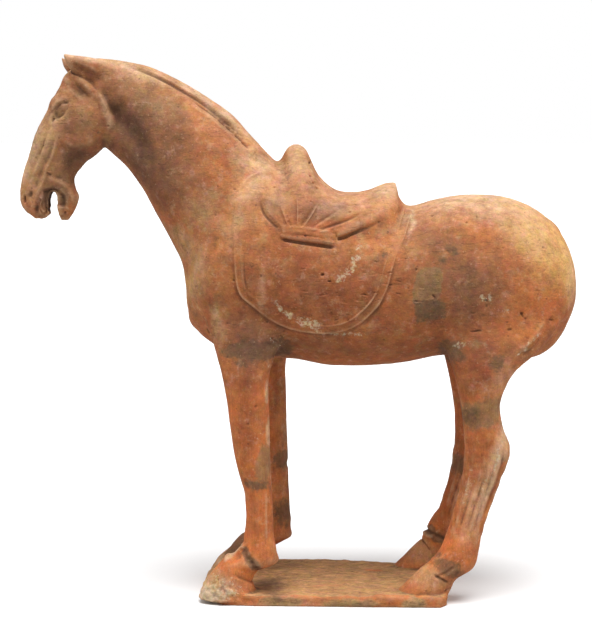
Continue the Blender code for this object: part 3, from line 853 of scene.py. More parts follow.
# %% Mane
MANE_LINE = [(-118.0, 353.6), (-109.9, 351.5), (-102.1, 349.0), (-93.9, 345.7), (-85.6, 341.7),
             (-77.4, 337.2), (-69.2, 332.4), (-61.0, 327.4), (-54.4, 323.0), (-48.0, 317.8), (-42.9, 313.8),
             (-37.8, 309.4), (-30.6, 300.8), (-26.0, 294.6)]
CHANNEL = [(-72.0, 332.0), (-69.8, 330.6), (-62.1, 325.5), (-55.4, 321.3), (-49.2, 316.3), (-44.2, 312.0),
           (-39.7, 307.6), (-32.0, 299.0), (-27.4, 292.6)]
draw(skin, MANE_LINE, 1.7, -1.5, ends=(0.22, 0.25))
shelf(skin, MANE_LINE, 1.2, 5.0, 0.3, ends=(0.2, 0.5))
draw(skin, CHANNEL, 1.5, -1.3, ends=(0.2, 0.35))
draw(skin, [(x + 0.5, z + 0.9) for x, z in CHANNEL[1:]], 4.2, -1.0, ends=(0.35, 0.4))
draw(skin, [(x - 2.8, z - 2.6) for x, z in CHANNEL[:-1]], 1.8, 0.4, ends=(0.3, 0.5))
rows, away, along, _ = near_line(skin, CHANNEL, 4.0, LEFT)
broken = 0.7 * lumps(skin.points[rows], 1.9, 17) + 0.7 * lumps(skin.points[rows], 4.0, 28)
skin.lift[rows] += broken * bell(away / 4.0) * smooth(3 * along - 0.8)

# %% [markdown]
# ## Folds of the saddle cover
#
# The folds fan out from the bundle like the ribs of a shell. Towards the back they get longer and
# thicker, and the lowest lies over the edge like a second roll, with a deep shadow under it.

# %% Pleats
PLEATS = [[(-5.0, 248.0), (-7.5, 254.5), (-10.5, 262.0)], [(0.9, 248.0), (1.0, 258.0), (0.5, 269.0)],
          [(4.5, 247.5), (9.5, 254.5), (12.6, 259.5), (15.6, 264.5)]]
for pleat in PLEATS:
    draw(skin, pleat, 0.9, 0.6, ends=(0.1, 0.4))
    draw(skin, [(x - 1.6, z) for x, z in pleat], 1.6, -0.3, ends=(0.1, 0.4))
draw(skin, [(-3.0, 247.4), (-4.6, 252.0)], 1.0, -0.3)
draw(skin, [(3.0, 247.0), (4.4, 252.0)], 1.0, -0.3)

# %% Long folds and undercuts
UPPER_FOLD = [(8.4, 246.2), (13.0, 249.4), (19.2, 253.4), (29.0, 259.2), (33.5, 261.4)]
LONG_FOLD = [(12.0, 244.9), (16.5, 246.4), (25.8, 249.4), (35.5, 253.0), (47.3, 258.9)]
ROLLED_EDGE = [(20.0, 243.4), (30.0, 245.6), (41.0, 249.4), (52.0, 253.6), (63.0, 257.8)]
UNDER_EDGE = [(26.6, 239.9), (31.6, 241.0), (35.5, 242.8), (40.1, 244.5), (45.3, 246.2), (55.1, 251.0),
              (61.6, 254.0)]
for fold, deep in ((UPPER_FOLD, 0.4), (LONG_FOLD, 0.8)):
    draw(skin, fold, 1.3, -deep, ends=(0.2, 0.5))
    draw(skin, [(x + 0.9, z - 1.6) for x, z in fold], 1.5, 0.4, ends=(0.2, 0.6))
draw(skin, ROLLED_EDGE, 3.8, 1.2, ends=(0.3, 0.5))
draw(skin, [(20.0, 250.6), (30.0, 254.4), (40.0, 259.0)], 2.8, 0.4, ends=(0.3, 0.4))
draw(skin, [(27.0, 262.4), (36.0, 261.4), (46.0, 262.0)], 1.2, -0.5, ends=(0.4, 0.4))
draw(skin, [(73.0, 266.0), (71.0, 260.0), (68.0, 254.5)], 6.5, 1.5, ends=(0.3, 0.5))
draw(skin, UNDER_EDGE[:5], 1.5, -1.2, ends=(0.05, 0.7))
draw(skin, UNDER_EDGE, 1.2, -0.3, ends=(0.1, 0.5))
UNDER_BUNDLE = [(-10.0, 239.9), (-3.6, 238.6), (2.9, 237.6), (10.8, 236.5), (19.2, 235.3), (25.5, 234.3)]
draw(skin, UNDER_BUNDLE, 1.5, -1.3, ends=(0.1, 0.1))
draw(skin, [(-3.6, 242.2), (2.9, 242.6), (10.8, 241.7), (19.2, 240.0)], 0.8, -0.3, ends=(0.1, 0.1))
FRONT_EDGE = [(-24.6, 272.0), (-23.8, 265.0), (-20.8, 256.4), (-16.0, 250.8), (-11.4, 246.6)]
draw(skin, FRONT_EDGE, 1.4, -1.0, ends=(0.6, 0.05))

# %% Cords of the border
x, y, z = skin.points.T
into_cloth = depth_inside(x, z, CLOTH)
border = BORDER_NARROW + (BORDER_WIDE - BORDER_NARROW) * smooth((x + 20) / 60)
off_cover = smooth(-depth_inside(x, z, COVER) / 3) * smooth((np.abs(y) - 14) / 10)
low_part = 0.4 + 0.6 * smooth((236 - z) / 34) + 0.5 * smooth((x - 62) / 8) * smooth((z - 236) / 8)
inner_left = 0.15 + 0.85 * smooth((x - 2) / 26) + 0.4 * smooth((-20 - x) / 9)     # the rest is rubbed away
inner = bell((into_cloth - 1.4 - border) / CORD) * inner_left
outer = bell((into_cloth - 1.3) / CORD)
sunk = bell((into_cloth + 0.5) / 1.5)
worn_away = 0.75 + 0.45 * lumps(skin.points, 9.0, 33)
skin.lift += off_cover * low_part * worn_away * (0.8 * outer + 1.0 * inner - 0.3 * sunk)
draw(skin, [(-33.8, 238.0), (-33.6, 222.0), (-32.2, 208.0), (-30.0, 200.0)], 1.2, -0.5, ends=(0.4, 0.2))
skin.press()

# %% [markdown]
# ## Legs and hooves
#
# Long grooves part the tendons from the bone on the lower legs, and a ridge runs round each coronet,
# where the hoof begins. The hind cannons are scored with many fine strokes of a comb.

# %% Forelegs
draw(skin, [(-19.6, 77.0), (-19.6, 60.0), (-19.4, 40.0)], 1.3, 0.6)
draw(skin, [(-23.0, 76.0), (-22.6, 60.0), (-22.4, 42.0)], 1.8, -0.5)
draw(skin, [(-34.6, 84.0), (-31.8, 79.5), (-31.6, 75.0)], 2.2, -0.7, sides=(LEFT,))
CORONET = [(-33.4, 40.6), (-34.8, 36.4), (-38.2, 33.4), (-43.4, 31.0), (-48.2, 27.2)]
draw(skin, CORONET, 1.4, 1.6, sides=(LEFT,))
draw(skin, [(-35.0, 32.6), (-39.5, 29.8), (-44.5, 27.2)], 2.0, -0.8, sides=(LEFT,))
draw(skin, [(-42.4, 21.2), (-36.4, 18.2), (-31.2, 15.4), (-27.4, 13.2)], 1.6, -0.8, ends=(0.4, 0.1))
CREASE = [(-33.4, 34.4), (-29.4, 29.6), (-26.0, 24.4), (-24.0, 20.6)]
draw(skin, CREASE, 3.2, -1.0, ends=(0.3, 0.05), sides=(LEFT,))
rows, away, _, _ = near_line(skin, CREASE, 4.5, LEFT)
skin.lift[rows] += 1.0 * lumps(skin.points[rows], 2.2, 25) * bell(away / 4.5)
draw(skin, [(-25.6, 17.0), (-24.6, 13.0), (-23.2, 9.2)], 2.0, -1.4, ends=(0.3, 0.05), sides=(LEFT,))
draw(skin, [(-16.0, 177.4), (-10.8, 172.2), (-7.6, 166.4), (-6.4, 162.4)], 1.0, 0.45, sides=(LEFT,))
draw(skin, [(-19.0, 173.0), (-13.0, 168.5)], 3.0, -0.6, sides=(LEFT,))
draw(skin, [(-7.6, 163.6), (-13.0, 160.4), (-16.4, 154.4), (-17.4, 144.0)], 1.2, 0.5, sides=(LEFT,))
draw(skin, [(-16.0, 165.0), (-15.6, 150.0), (-16.6, 132.0)], 1.6, 0.5, sides=(LEFT,))
draw(skin, [(-45.6, 32.0), (-52.0, 24.0)], 1.8, 0.9, sides=(RIGHT,))
dab(skin, (-6.3, 79.0), 4.0, 3.0, 90, -0.8, sides=(RIGHT,))

# %% Hind legs
draw(skin, [(104.6, 150.0), (108.6, 132.0), (111.0, 110.0), (110.6, 90.0), (108.0, 72.0)], 1.3, 0.7)
# Each stroke of the comb: its place from front to back, its top and bottom, and its height.
COMB = [(0.06, 96.0, 50.0, -0.5), (0.17, 92.0, 40.0, 0.55), (0.28, 84.0, 36.0, -0.9),
        (0.38, 100.0, 44.0, 0.5), (0.50, 90.0, 38.0, -0.9), (0.58, 96.0, 36.0, 0.6),
        (0.68, 102.0, 34.0, -0.8), (0.76, 112.0, 40.0, 0.7), (0.86, 108.0, 38.0, -0.7),
        (0.93, 112.0, 52.0, 0.5)]
COMB_DEPTH = 0.75         # how much of those heights the clay took
CANNON = [(110.8, 136.6, 118.0), (110.8, 140.2, 98.0), (109.2, 136.2, 86.0), (106.4, 131.4, 73.0),
          (102.4, 126.4, 59.0), (98.6, 122.4, 45.0), (94.6, 120.0, 34.0)]    # front x, back x, height


def down_the_cannon(share, top, bottom):
    """A line down the hind cannon, at a fixed share of the way from its front to its back."""
    line = []
    for z in np.linspace(top, bottom, 5):
        front = np.interp(-z, [-row[2] for row in CANNON], [row[0] for row in CANNON])
        back = np.interp(-z, [-row[2] for row in CANNON], [row[1] for row in CANNON])
        line.append((front + share * (back - front), z))
    return line


for share, top, bottom, height in COMB:
    draw(skin, down_the_cannon(share, top, bottom), 1.2, COMB_DEPTH * height, ends=(0.25, 0.4))
x, y, z = skin.points.T
scored = smooth((x - 95) / 8) * smooth((z - 36) / 10) * smooth((118 - z) / 14)
skin.lift += 0.6 * scored * lumps(skin.points * (1.0, 1.0, 0.3), 2.4, 27)
draw(skin, [(108.0, 88.0), (106.6, 81.0), (105.6, 75.0)], 3.0, 0.9, sides=(RIGHT,))
draw(skin, [(101.0, 36.0), (95.0, 31.0), (88.0, 27.0)], 1.4, 0.5)
draw(skin, [(104.0, 27.0), (98.0, 22.0), (91.0, 19.0)], 1.5, -0.8, sides=(LEFT,))
draw(skin, [(89.5, 20.6), (93.0, 18.8), (96.4, 17.2), (100.4, 14.4)], 1.4, -1.3, sides=(LEFT,))
draw(skin, [(97.0, 9.0), (100.0, 10.4), (103.0, 10.2)], 0.9, -0.9, sides=(LEFT,))
draw(skin, [(89.0, 34.0), (96.0, 31.5), (103.0, 28.5)], 1.8, -1.3, ends=(0.05, 0.05), sides=(RIGHT,))
draw(skin, [(88.0, 31.0), (95.0, 28.6)], 1.8, 0.9, sides=(RIGHT,))
draw(skin, [(86.5, 27.0), (90.0, 24.0), (93.0, 20.0)], 0.9, -1.0, sides=(RIGHT,))

# %% [markdown]
# ## Knocks, pits and folds in the clay
#
# Burial and handling leave pits, small gashes and dents. The larger ones are placed one by one on the left
# flank, and the right gets a few of its own. The small ones are strewn at random with a fixed seed.

# %% Pits and gashes
PITS = [(17.1, 217.5, 1.8, 1.9), (117.2, 254.1, 0.9, 1.0), (110.5, 250.4, 1.0, 1.0), (9.4, 288.5, 1.4, 1.6),
        (-26.0, 131.5, 1.6, 0.9), (-31.0, 120.0, 2.0, 0.7), (123.0, 197.0, 1.4, 0.8),
        (146.2, 192.0, 1.9, 1.0), (148.6, 188.6, 1.6, 0.8), (88.6, 199.0, 1.0, 0.8),
        (-123.5, 312.5, 1.3, 1.0)]
for x, z, size, deep in PITS:
    dab(skin, (x, z), size, size * 0.8, 20, -deep, sides=(LEFT,))
    dab(skin, (x + 9, z - 6), size, size * 0.7, -30, -deep * 0.6, sides=(RIGHT,))
GASHES = [[(111.0, 181.2), (114.0, 180.2), (118.0, 180.9), (122.5, 180.6)],
          [(144.6, 193.6), (146.5, 190.5), (147.6, 188.4)],
          [(-59.3, 180.5), (-57.9, 177.5), (-56.6, 175.0)], [(121.0, 201.4), (124.0, 200.2)],
          [(86.6, 205.0), (89.0, 203.4), (91.0, 201.0)], [(20.0, 213.4), (23.0, 213.0)],
          [(163.4, 187.4), (168.4, 186.6)], [(136.0, 181.4), (140.2, 182.0)]]
dab(skin, (-69.5, 182.5), 8.0, 5.0, -60, 1.1)           # a swelling low on the breast
for gash in GASHES:
    draw(skin, gash, 0.95, -1.2, ends=(0.4, 0.4), sides=(LEFT,))
# A fold of clay before the stifle, and the groove under it.
draw(skin, [(142.5, 167.0), (150.0, 172.0), (157.0, 180.0), (163.0, 190.0)], 2.4, 0.8, sides=(LEFT,))
draw(skin, [(146.5, 164.0), (154.0, 169.5), (160.0, 177.0)], 1.6, -0.6, sides=(LEFT,))


# %% Fine cracks at random
def crack(skin, low, high, count, seed):
    """Fine short cracks, nearly level, strewn over the left flank between two corners, (x, z)."""
    rng = np.random.default_rng(seed)
    for start in rng.uniform(low, high, (count, 2)):
        length, slope, bow = rng.uniform(2.5, 7.0), rng.uniform(-0.25, 0.25), rng.uniform(-0.6, 0.6)
        line = [start + (share * length, share * length * slope + bow * math.sin(share * math.pi))
                for share in (0.0, 0.33, 0.67, 1.0)]
        draw(skin, line, 0.8, rng.uniform(-0.5, -0.2), ends=(0.4, 0.4), sides=(LEFT,))
        draw(skin, [(x, z - 0.9) for x, z in line], 0.8, 0.2, ends=(0.4, 0.4), sides=(LEFT,))


crack(skin, (30, 200), (66, 228), 16, 71)
crack(skin, (-30, 188), (34, 222), 16, 72)
crack(skin, (74, 199), (90, 210), 12, 73)
crack(skin, (96, 176), (160, 236), 22, 74)

# %% Small pits at random
PIT_DEPTH = 0.45          # depth of a strewn pit, as a share of its radius
PIT_COUNT = 150


def strew(skin, count, low, high, seed):
    """Presses round pits, with radii from low to high, at random points of the skin."""
    rng = np.random.default_rng(seed)
    middles = skin.points[rng.integers(0, len(skin.points), count)]
    for middle, radius in zip(middles, rng.uniform(low, high, count)):
        near = np.nonzero(np.abs(skin.points - middle).max(1) < radius)[0]
        away = np.linalg.norm(skin.points[near] - middle, axis=1) / radius
        skin.lift[near] -= PIT_DEPTH * radius * bell(away)


strew(skin, PIT_COUNT, 0.7, 1.5, 41)
x, y, z = skin.points.T
crust = smooth((20 - z) / 8) * smooth((-32 - x) / 14) * smooth((-20 - y) / 10)
slab_edge = smooth((9 - z) / 2) * smooth((np.abs(y) - 38) / 8)
skin.lift += crust * (0.8 * lumps(skin.points, 3.2, 14) + 0.6 * lumps(skin.points, 1.6, 15))
skin.lift += slab_edge * (0.5 * lumps(skin.points, 7.0, 18) + 0.2 * lumps(skin.points, 2.6, 19))
head = smooth((-126 - x) / 10) * smooth((z - 240) / 10)
skin.lift += ((0.10 + 0.06 * head) * lumps(skin.points, 4.2, 13)
              + (0.05 + 0.1 * head) * lumps(skin.points, 2.0, 16))
skin.press()

# %% [markdown]
# ## Thin the mesh
#
# Decimate merges the flat places first and leaves the marked ones dense, so the mesh stays light enough
# to handle and keeps its marks.

# %% Thin out
TRIANGLES = 196000


def thin(mesh, triangles):
    """A new mesh of that many triangles."""
    made = bpy.data.objects.new("thinning", mesh)
    bpy.context.scene.collection.objects.link(made)
    mesh.calc_loop_triangles()
    modifier = made.modifiers.new("thin out", "DECIMATE")
    modifier.ratio = min(1.0, triangles / len(mesh.loop_triangles))
    modifier.use_collapse_triangulate = True
    done = bpy.data.meshes.new_from_object(made.evaluated_get(bpy.context.evaluated_depsgraph_get()))
    bpy.data.objects.remove(made, do_unlink=True)
    return done


before = len(horse_mesh.polygons)
horse_mesh = thin(horse_mesh, TRIANGLES)
skin = Skin(horse_mesh)
print("faces:", before, "->", len(horse_mesh.polygons))

# %% [markdown]
# ## Where the clay is hollow and where it stands out
#
# Dirt stays in hollows, and the hollows get painted shade as well; edges wear pale. To find them, the
# finished horse is turned into a block of numbers again: 1 in the clay and 0 in the air. The block is
# blurred, and then read at the skin. On a flat place the blur gives a half, in a hollow more, and on an
# edge less.

# %% Blur the clay
def clay_share(skin, cell, radius):
    """The share of clay near each point, from 0 to 1, within about that radius."""
    mesh = skin.mesh
    mesh.calc_loop_triangles()
    corners = np.empty(len(mesh.loop_triangles) * 3, np.int32)
    mesh.loop_triangles.foreach_get("vertices", corners)
    shape = openvdb.createLinearTransform(voxelSize=cell)
    grid = openvdb.FloatGrid.createLevelSetFromPolygons(
        skin.points.astype(np.float32), triangles=corners.reshape(-1, 3).astype(np.uint32), transform=shape,
        halfWidth=3)
    room = 2 * radius + 2 * cell
    low = np.floor((skin.points.min(0) - room) / cell).astype(int)
    block = np.empty(np.ceil((skin.points.max(0) + room) / cell).astype(int) - low, np.float32)
    grid.copyToArray(block, ijk=tuple(int(v) for v in low))
    block = np.clip(0.5 - block / cell, 0, 1)
    reach = max(1, round(radius / cell / 1.4))
    for axis in (0, 1, 2, 0, 1, 2):
        block = box_blur(block, axis, reach)
    place = skin.points / cell - low
    first = np.floor(place).astype(int)
    return between_cells(block, first, place - first)


def box_blur(block, axis, reach):
    """The mean over 2 * reach + 1 cells along one axis."""
    total = np.cumsum(block, axis=axis, dtype=np.float32)
    total = np.moveaxis(total, axis, 0)
    found = np.moveaxis(np.zeros_like(block), axis, 0)
    found[reach + 1:-reach] = (total[2 * reach + 1:] - total[:-2 * reach - 1]) / (2 * reach + 1)
    return np.moveaxis(found, 0, axis)


share_near = clay_share(skin, 0.9, 2.0)
share_wide = clay_share(skin, 2.2, 9.0)
# hollow is partly dirt in the fine crevices and partly painted shade: the wide term darkens broad hollows
# and creases where shade falls
hollow = np.clip(smooth((share_near - 0.515) / 0.13) + 0.6 * smooth((share_wide - 0.53) / 0.2), 0, 1)
worn = smooth((0.475 - share_near) / 0.16)
print("hollow mean", round(float(hollow.mean()), 3), "worn mean", round(float(worn.mean()), 3))

# %% [markdown]
# ## Washes and stains
#
# The fired clay is orange where it is clean, and brown where earth has stained it; the brown along the
# belly is painted shade. A thin pale slip, once brushed all over, is left in places, and the upper
# surfaces are made paler still, as painted highlight. Each wash below is a soft oval: the flank or both
# flanks, its middle as (x, z), its half length and half width, its turn in degrees, and its strength.
# The first list takes the dirt and painted shade of the hollows off the folds of the cover.

# %% Soft washes
MARK_REACH = 1.25         # a wash fades out at this many times its half length and half width
HOLLOWS_KEPT_LIGHT = [(BOTH, -12, 284, 18, 20, 0, 0.9), (BOTH, 70, 257, 14, 12, 0, 0.8), (BOTH, 8, 247, 24, 4, -8, 0.7)]
# Partly slip and partly painted highlight: the rows on the rump top, along the crest and down the back edges
# of the hind legs paint light that falls there
SLIP_AND_HIGHLIGHTS = [(BOTH, 112, 268, 62, 11, -3, 0.65), (BOTH, 150, 246, 26, 20, -40, 0.3),
        (BOTH, -30, 272, 16, 8, 40, 0.5), (BOTH, 0, 299, 14, 4, 0, 0.4), (BOTH, -17, 268, 5, 12, 0, 0.15),
        (BOTH, 60, 272, 12, 6, 0, 0.4), (BOTH, 76, 251, 12, 1.5, 72, 0.8),
        (BOTH, -177, 292, 34, 4, 70, 0.6), (BOTH, -125, 322, 14, 3.4, -72, 0.4),
        (BOTH, 127, 76, 40, 3, 73, 0.6), (LEFT, -17.3, 124, 42, 1.3, 90, 0.8),
        (LEFT, -12, 169, 9, 1.0, -52, 0.8), (BOTH, 181, 214, 26, 5, -82, 0.4),
        (BOTH, -108, 349, 30, 6, -18, 0.6), (LEFT, -138, 357, 16, 3.4, -6, 0.6),
        (BOTH, -60, 329, 50, 4.4, -38, 0.75), (BOTH, -27, 288, 14, 8, -40, 0.55),
        (BOTH, -165, 299, 24, 7, 66, 0.2), (BOTH, -46, 12, 16, 8, 0, 0.3), (BOTH, 87, 18, 16, 7, -20, 0.1),
        (LEFT, -41, 33, 9, 2.0, 28, 1.0), (LEFT, -57, 6, 12, 7, 0, 0.9), (BOTH, -64, 222, 18, 4, 75, 0.3),
        (BOTH, 131, 104, 20, 6, 72, 0.6), (BOTH, 118, 66, 34, 9, 72, 0.45),
        (BOTH, 137, 116, 12, 4, 75, 0.5), (BOTH, 132, 150, 18, 9, 60, 0.3), (BOTH, -62, 12, 8, 8, 0, 0.6),
        (BOTH, -38, 246, 16, 7, 80, 0.25), (BOTH, 66, 240, 18, 5, 60, 0.15),
        (BOTH, -21, 210, 22, 3, 84, 0.3), (BOTH, 20, 4, 60, 3, 0, 0.3)]
# Earth stains; the row along the belly's underside is painted shade
BROWN = [(BOTH, 112, 208, 26, 36, 0, 0.7), (BOTH, -30, 182, 26, 13, 0, 0.7),
         (RIGHT, -12, 90, 16, 80, 0, 0.15), (BOTH, 22, 257, 14, 6, 14, 0.5),
         (BOTH, -100, 292, 46, 20, -54, 0.7), (BOTH, -150, 306, 62, 40, 70, 0.6),
         (BOTH, -104, 322, 44, 22, -50, 0.75), (BOTH, -84, 290, 46, 22, -55, 0.7),
         (BOTH, 30, 164, 90, 12, 0, 0.3), (BOTH, 92, 240, 26, 12, -20, 0.6),
         (BOTH, 100, 222, 30, 18, 0, 0.4), (BOTH, -86, 320, 36, 15, -40, 0.6),
         (BOTH, -14, 262, 10, 12, 0, 0.6), (BOTH, 16, 257, 18, 9, 10, 0.75),
         (BOTH, -31, 258, 12, 12, 0, 0.3), (BOTH, 80, 237, 14, 12, 0, 0.4),
         (BOTH, 133, 168, 22, 12, 0, 0.4), (BOTH, -80, 308, 16, 14, -40, 0.4),
         (BOTH, -30, 160, 14, 10, 0, 0.5), (BOTH, 118, 206, 22, 16, 0, 0.35)]
TANNED = [(BOTH, -166, 302, 40, 10, 66, 0.8), (BOTH, -160, 274, 26, 16, 66, 0.5),
          (BOTH, -174, 272, 14, 8, 70, 0.5), (LEFT, -50, 185, 18, 4, 95, 0.7),
          (BOTH, -62, 212, 26, 7, 85, 0.5), (BOTH, -60, 256, 18, 13, -60, 0.6),
          (BOTH, -54, 16, 16, 9, -30, 0.6), (BOTH, 84, 18, 18, 9, -30, 0.4), (BOTH, 2, 286, 16, 12, 0, 0.6),
          (BOTH, -140, 318, 18, 16, 0, 0.3), (BOTH, -72, 234, 16, 10, -60, 0.6),
          (BOTH, -98, 330, 30, 9, -35, 0.4), (BOTH, -36, 252, 14, 10, 0, 0.4),
          (BOTH, -60, 14, 10, 9, -30, 0.4), (BOTH, 90, 20, 22, 6, -25, 0.4)]
# Partly the clay's deeper red and partly painted shade: on the belly, the lower cloth, under the bundle and
# down the middle of the near foreleg
DEEP_RED_AND_SHADE = [(LEFT, -32, 118, 42, 7, 92, 0.6), (LEFT, -34, 152, 16, 14, 0, 0.7),
        (LEFT, -27, 58, 34, 3.4, 92, 0.4), (LEFT, 117, 156, 24, 10, 85, 1.0),
        (BOTH, 12, 204, 52, 34, 0, 0.75), (BOTH, 84, 206, 44, 30, 0, 0.55),
        (BOTH, 30, 168, 100, 14, 0, 0.5), (BOTH, 14, 260, 28, 14, 0, 0.6), (BOTH, 2, 284, 16, 16, 0, 0.4),
        (BOTH, 118, 196, 30, 26, 0, 0.55), (BOTH, -28, 178, 26, 18, 0, 0.6),
        (BOTH, 118, 160, 22, 16, 0, 0.5), (RIGHT, 112, 90, 20, 90, 0, 0.4),
        (BOTH, -82, 300, 34, 14, -50, 0.45), (BOTH, -104, 282, 34, 6, -53, 0.6),
        (BOTH, -34, 200, 30, 20, 84, 0.35), (BOTH, 18, 257, 18, 7, 14, 0.7),
        (BOTH, 8, 239.5, 20, 6, -8, 0.55), (BOTH, 156, 170, 16, 10, 40, 0.4)]
BARE = [(BOTH, -18, 120, 50, 3.6, 92, 0.9), (BOTH, -38, 110, 70, 26, 92, 0.75),
        (BOTH, -34, 50, 60, 26, 90, 1.0), (BOTH, 122, 132, 60, 34, 80, 0.5),
        (BOTH, 104, 40, 44, 30, 60, 0.9), (BOTH, 166, 200, 40, 24, 80, 0.6), (BOTH, 30, 4, 110, 9, 0, 0.9),
        (BOTH, 40, 160, 70, 6, 0, 0.6), (BOTH, 112, 236, 26, 14, 0, 0.3), (BOTH, 140, 196, 30, 30, 0, 0.4),
        (BOTH, -142, 358, 9, 3, 0, 0.7), (BOTH, -84, 262, 22, 5, -58, 0.4),
        (BOTH, -44, 24, 16, 9, -30, 0.9), (BOTH, 17, 258, 19, 10, 12, 0.6)]
YELLOW = [(BOTH, 162, 236, 36, 24, -60, 0.9), (BOTH, 177, 220, 24, 10, -80, 0.9),
          (BOTH, -69, 212, 16, 4, 85, 0.6), (BOTH, 62, 273, 9, 6, 0, 0.4),
          (BOTH, 140, 262, 22, 5, -12, 0.4), (BOTH, -40, 309, 24, 4, -42, 0.3)]
# Painted shade: these darken the hollows behind and under the cheek and down the neck, the inside of the
# mouth and nostril, the eye, the hollow under the forelock, the ear hollows and the far ear, the mane lines,
# under the belly and by the heels; a few mark dark cracks
SHADE_AND_CRACKS = [(BOTH, -115, 322, 14, 8, -55, 0.45), (BOTH, -107.5, 311, 16, 11, -58, 0.95),
        (BOTH, -115, 308, 12, 5, -50, 0.4), (BOTH, -101, 299, 18, 10, -60, 0.8),
        (BOTH, -94, 286, 18, 10, -60, 0.5), (BOTH, -104, 284, 36, 7, -53, 0.5),
        (BOTH, -84, 268, 26, 12, -56, 0.3), (BOTH, -148, 290, 15, 7, 62, 0.6),
        (BOTH, -143, 292, 15, 8, 20, 0.95), (BOTH, -148, 281, 10, 6, 80, 0.4),
        (BOTH, -124, 299, 9, 5, -30, 0.7), (BOTH, -166, 263, 12, 6, 84, 1.0),
        (BOTH, -165.4, 264, 9, 3, 84, 1.0), (BOTH, -153.6, 264.6, 7, 3.4, 86, 1.0),
        (BOTH, -161, 271, 8, 3, 0, 0.9), (BOTH, -154.4, 264, 7, 3.4, 84, 0.9),
        (BOTH, -172.2, 257.6, 5, 2.4, 78, 0.7), (BOTH, -169, 252.6, 5, 2.4, -20, 0.6),
        (BOTH, -154.6, 253.4, 4, 2.6, 60, 0.6), (BOTH, -175.8, 267.6, 4, 2.4, 75, 0.6),
        (BOTH, -162.6, 280.2, 2.4, 1.4, 0, 0.8), (BOTH, -155, 323.2, 8, 4.4, 51, 0.55),
        (BOTH, -157.4, 321, 2.6, 2, 60, 0.3), (BOTH, -160, 316, 4, 1.2, 80, 0.6),
        (BOTH, -141.6, 335.2, 12, 5, -34, 0.5), (BOTH, -137.5, 347.5, 14, 5, -32, 0.65),
        (BOTH, -146, 347.4, 4, 1.6, -20, 0.6), (RIGHT, -148, 351, 10, 10, 0, 1.0),
        (LEFT, -24, 13, 3, 5, 0, 0.8), (BOTH, -46, 313.6, 26, 4.0, -46, 0.5),
        (BOTH, -80, 338, 26, 1.4, -30, 0.4), (LEFT, -14, 8, 9, 4, 0, 0.7), (LEFT, 116, 126, 3, 9, 0, 0.2),
        (LEFT, -27, 26, 10, 2.4, -52, 0.7), (LEFT, 95, 17.4, 7, 1.8, -30, 0.6),
        (BOTH, -28, 174, 24, 7, 0, 0.5), (LEFT, -8, 168, 6, 4, -40, 0.5)]


def wobbly(points, amount, size, seeds):
    """The points, each moved by soft lumps, so that a mark gets an uneven outline. A seed of None leaves
    that axis alone."""
    moves = [0 * points[:, 0] if seed is None else lumps(points, size, seed) for seed in seeds]
    return points + amount * np.column_stack(moves)


def on_side(skin, side, width):
    """A mask that rises over that width, from 1 mm past the centre plane outwards."""
    return smooth((skin.points[:, 1] * side - 1) / width)


def wash(skin, marks, wobble=3.0):
    """One soft mask from a list of washes."""
    points = wobbly(skin.points, wobble, 9.0, (21, None, 22))
    rest = np.ones(len(points))
    for sides, x, z, long, short, turn, strength in marks:
        mask = strength * bell(oval(points, (x, z), long, short, turn) / MARK_REACH)
        if sides != BOTH:
            mask = mask * on_side(skin, sides, 8)
        rest *= 1 - mask
    return 1 - rest


# %% Stains with an edge
GREY = [(LEFT, -26, 167.5, 20, 5.6, 0, 1.4), (LEFT, -11, 168, 8, 7, 0, 1.3), (LEFT, -34, 160, 6, 5, 0, 0.6),
        (LEFT, -25, 79.5, 9, 3.6, -8, 1.0), (RIGHT, -8, 83, 8, 7, 0, 1.0), (RIGHT, -8, 46, 8, 10, 0, 0.9),
        (LEFT, -28.6, 28.6, 11, 3.4, -52, 1.2), (RIGHT, -42, 24, 10, 7, 50, 1.0),
        (LEFT, 113, 126, 9, 8, 0, 0.6), (RIGHT, 116, 80, 16, 7, 0, 0.9), (LEFT, 100, 25, 12, 6, -35, 0.9),
        (RIGHT, 96, 31, 12, 3.6, -31, 1.1), (LEFT, 101, 167, 10, 8, -40, 0.9),
        (LEFT, 130, 160, 6, 6, 0, 0.8), (LEFT, 150, 168, 5, 4, 0, 0.45), (LEFT, 102, 170, 4, 6, 70, 0.9),
        (LEFT, 100, 233, 6, 3, -30, 0.9), (LEFT, 94, 227, 5, 3, -30, 0.6), (RIGHT, -30, 168, 18, 7, 0, 0.9),
        (RIGHT, 108, 160, 16, 8, 0, 0.9), (RIGHT, 70, 210, 12, 9, 0, 0.8), (LEFT, -6, 281, 4, 7, 0, 0.5),
        (LEFT, -52, 238, 6, 3, 70, 0.4), (LEFT, -18, 232, 3, 2, 0, 0.6), (LEFT, 57, 232, 3, 3, 0, 0.7)]
OLIVE = [(LEFT, 118, 126, 16, 9, -6, 1.0), (LEFT, 128, 131, 8, 8, 0, 0.9),
         (LEFT, -20.5, 93, 13, 5.5, 86, 1.0), (RIGHT, 120, 222, 10, 8, 0, 0.9),
         (LEFT, 116, 172, 8, 4, 0, 0.6), (LEFT, 112, 120, 8, 6, 0, 0.6), (LEFT, -9, 2.8, 13, 3, 0, 0.8),
         (LEFT, 36, 2.6, 17, 2.6, 0, 0.75), (LEFT, 76, 3, 7, 3.6, 0, 0.8)]
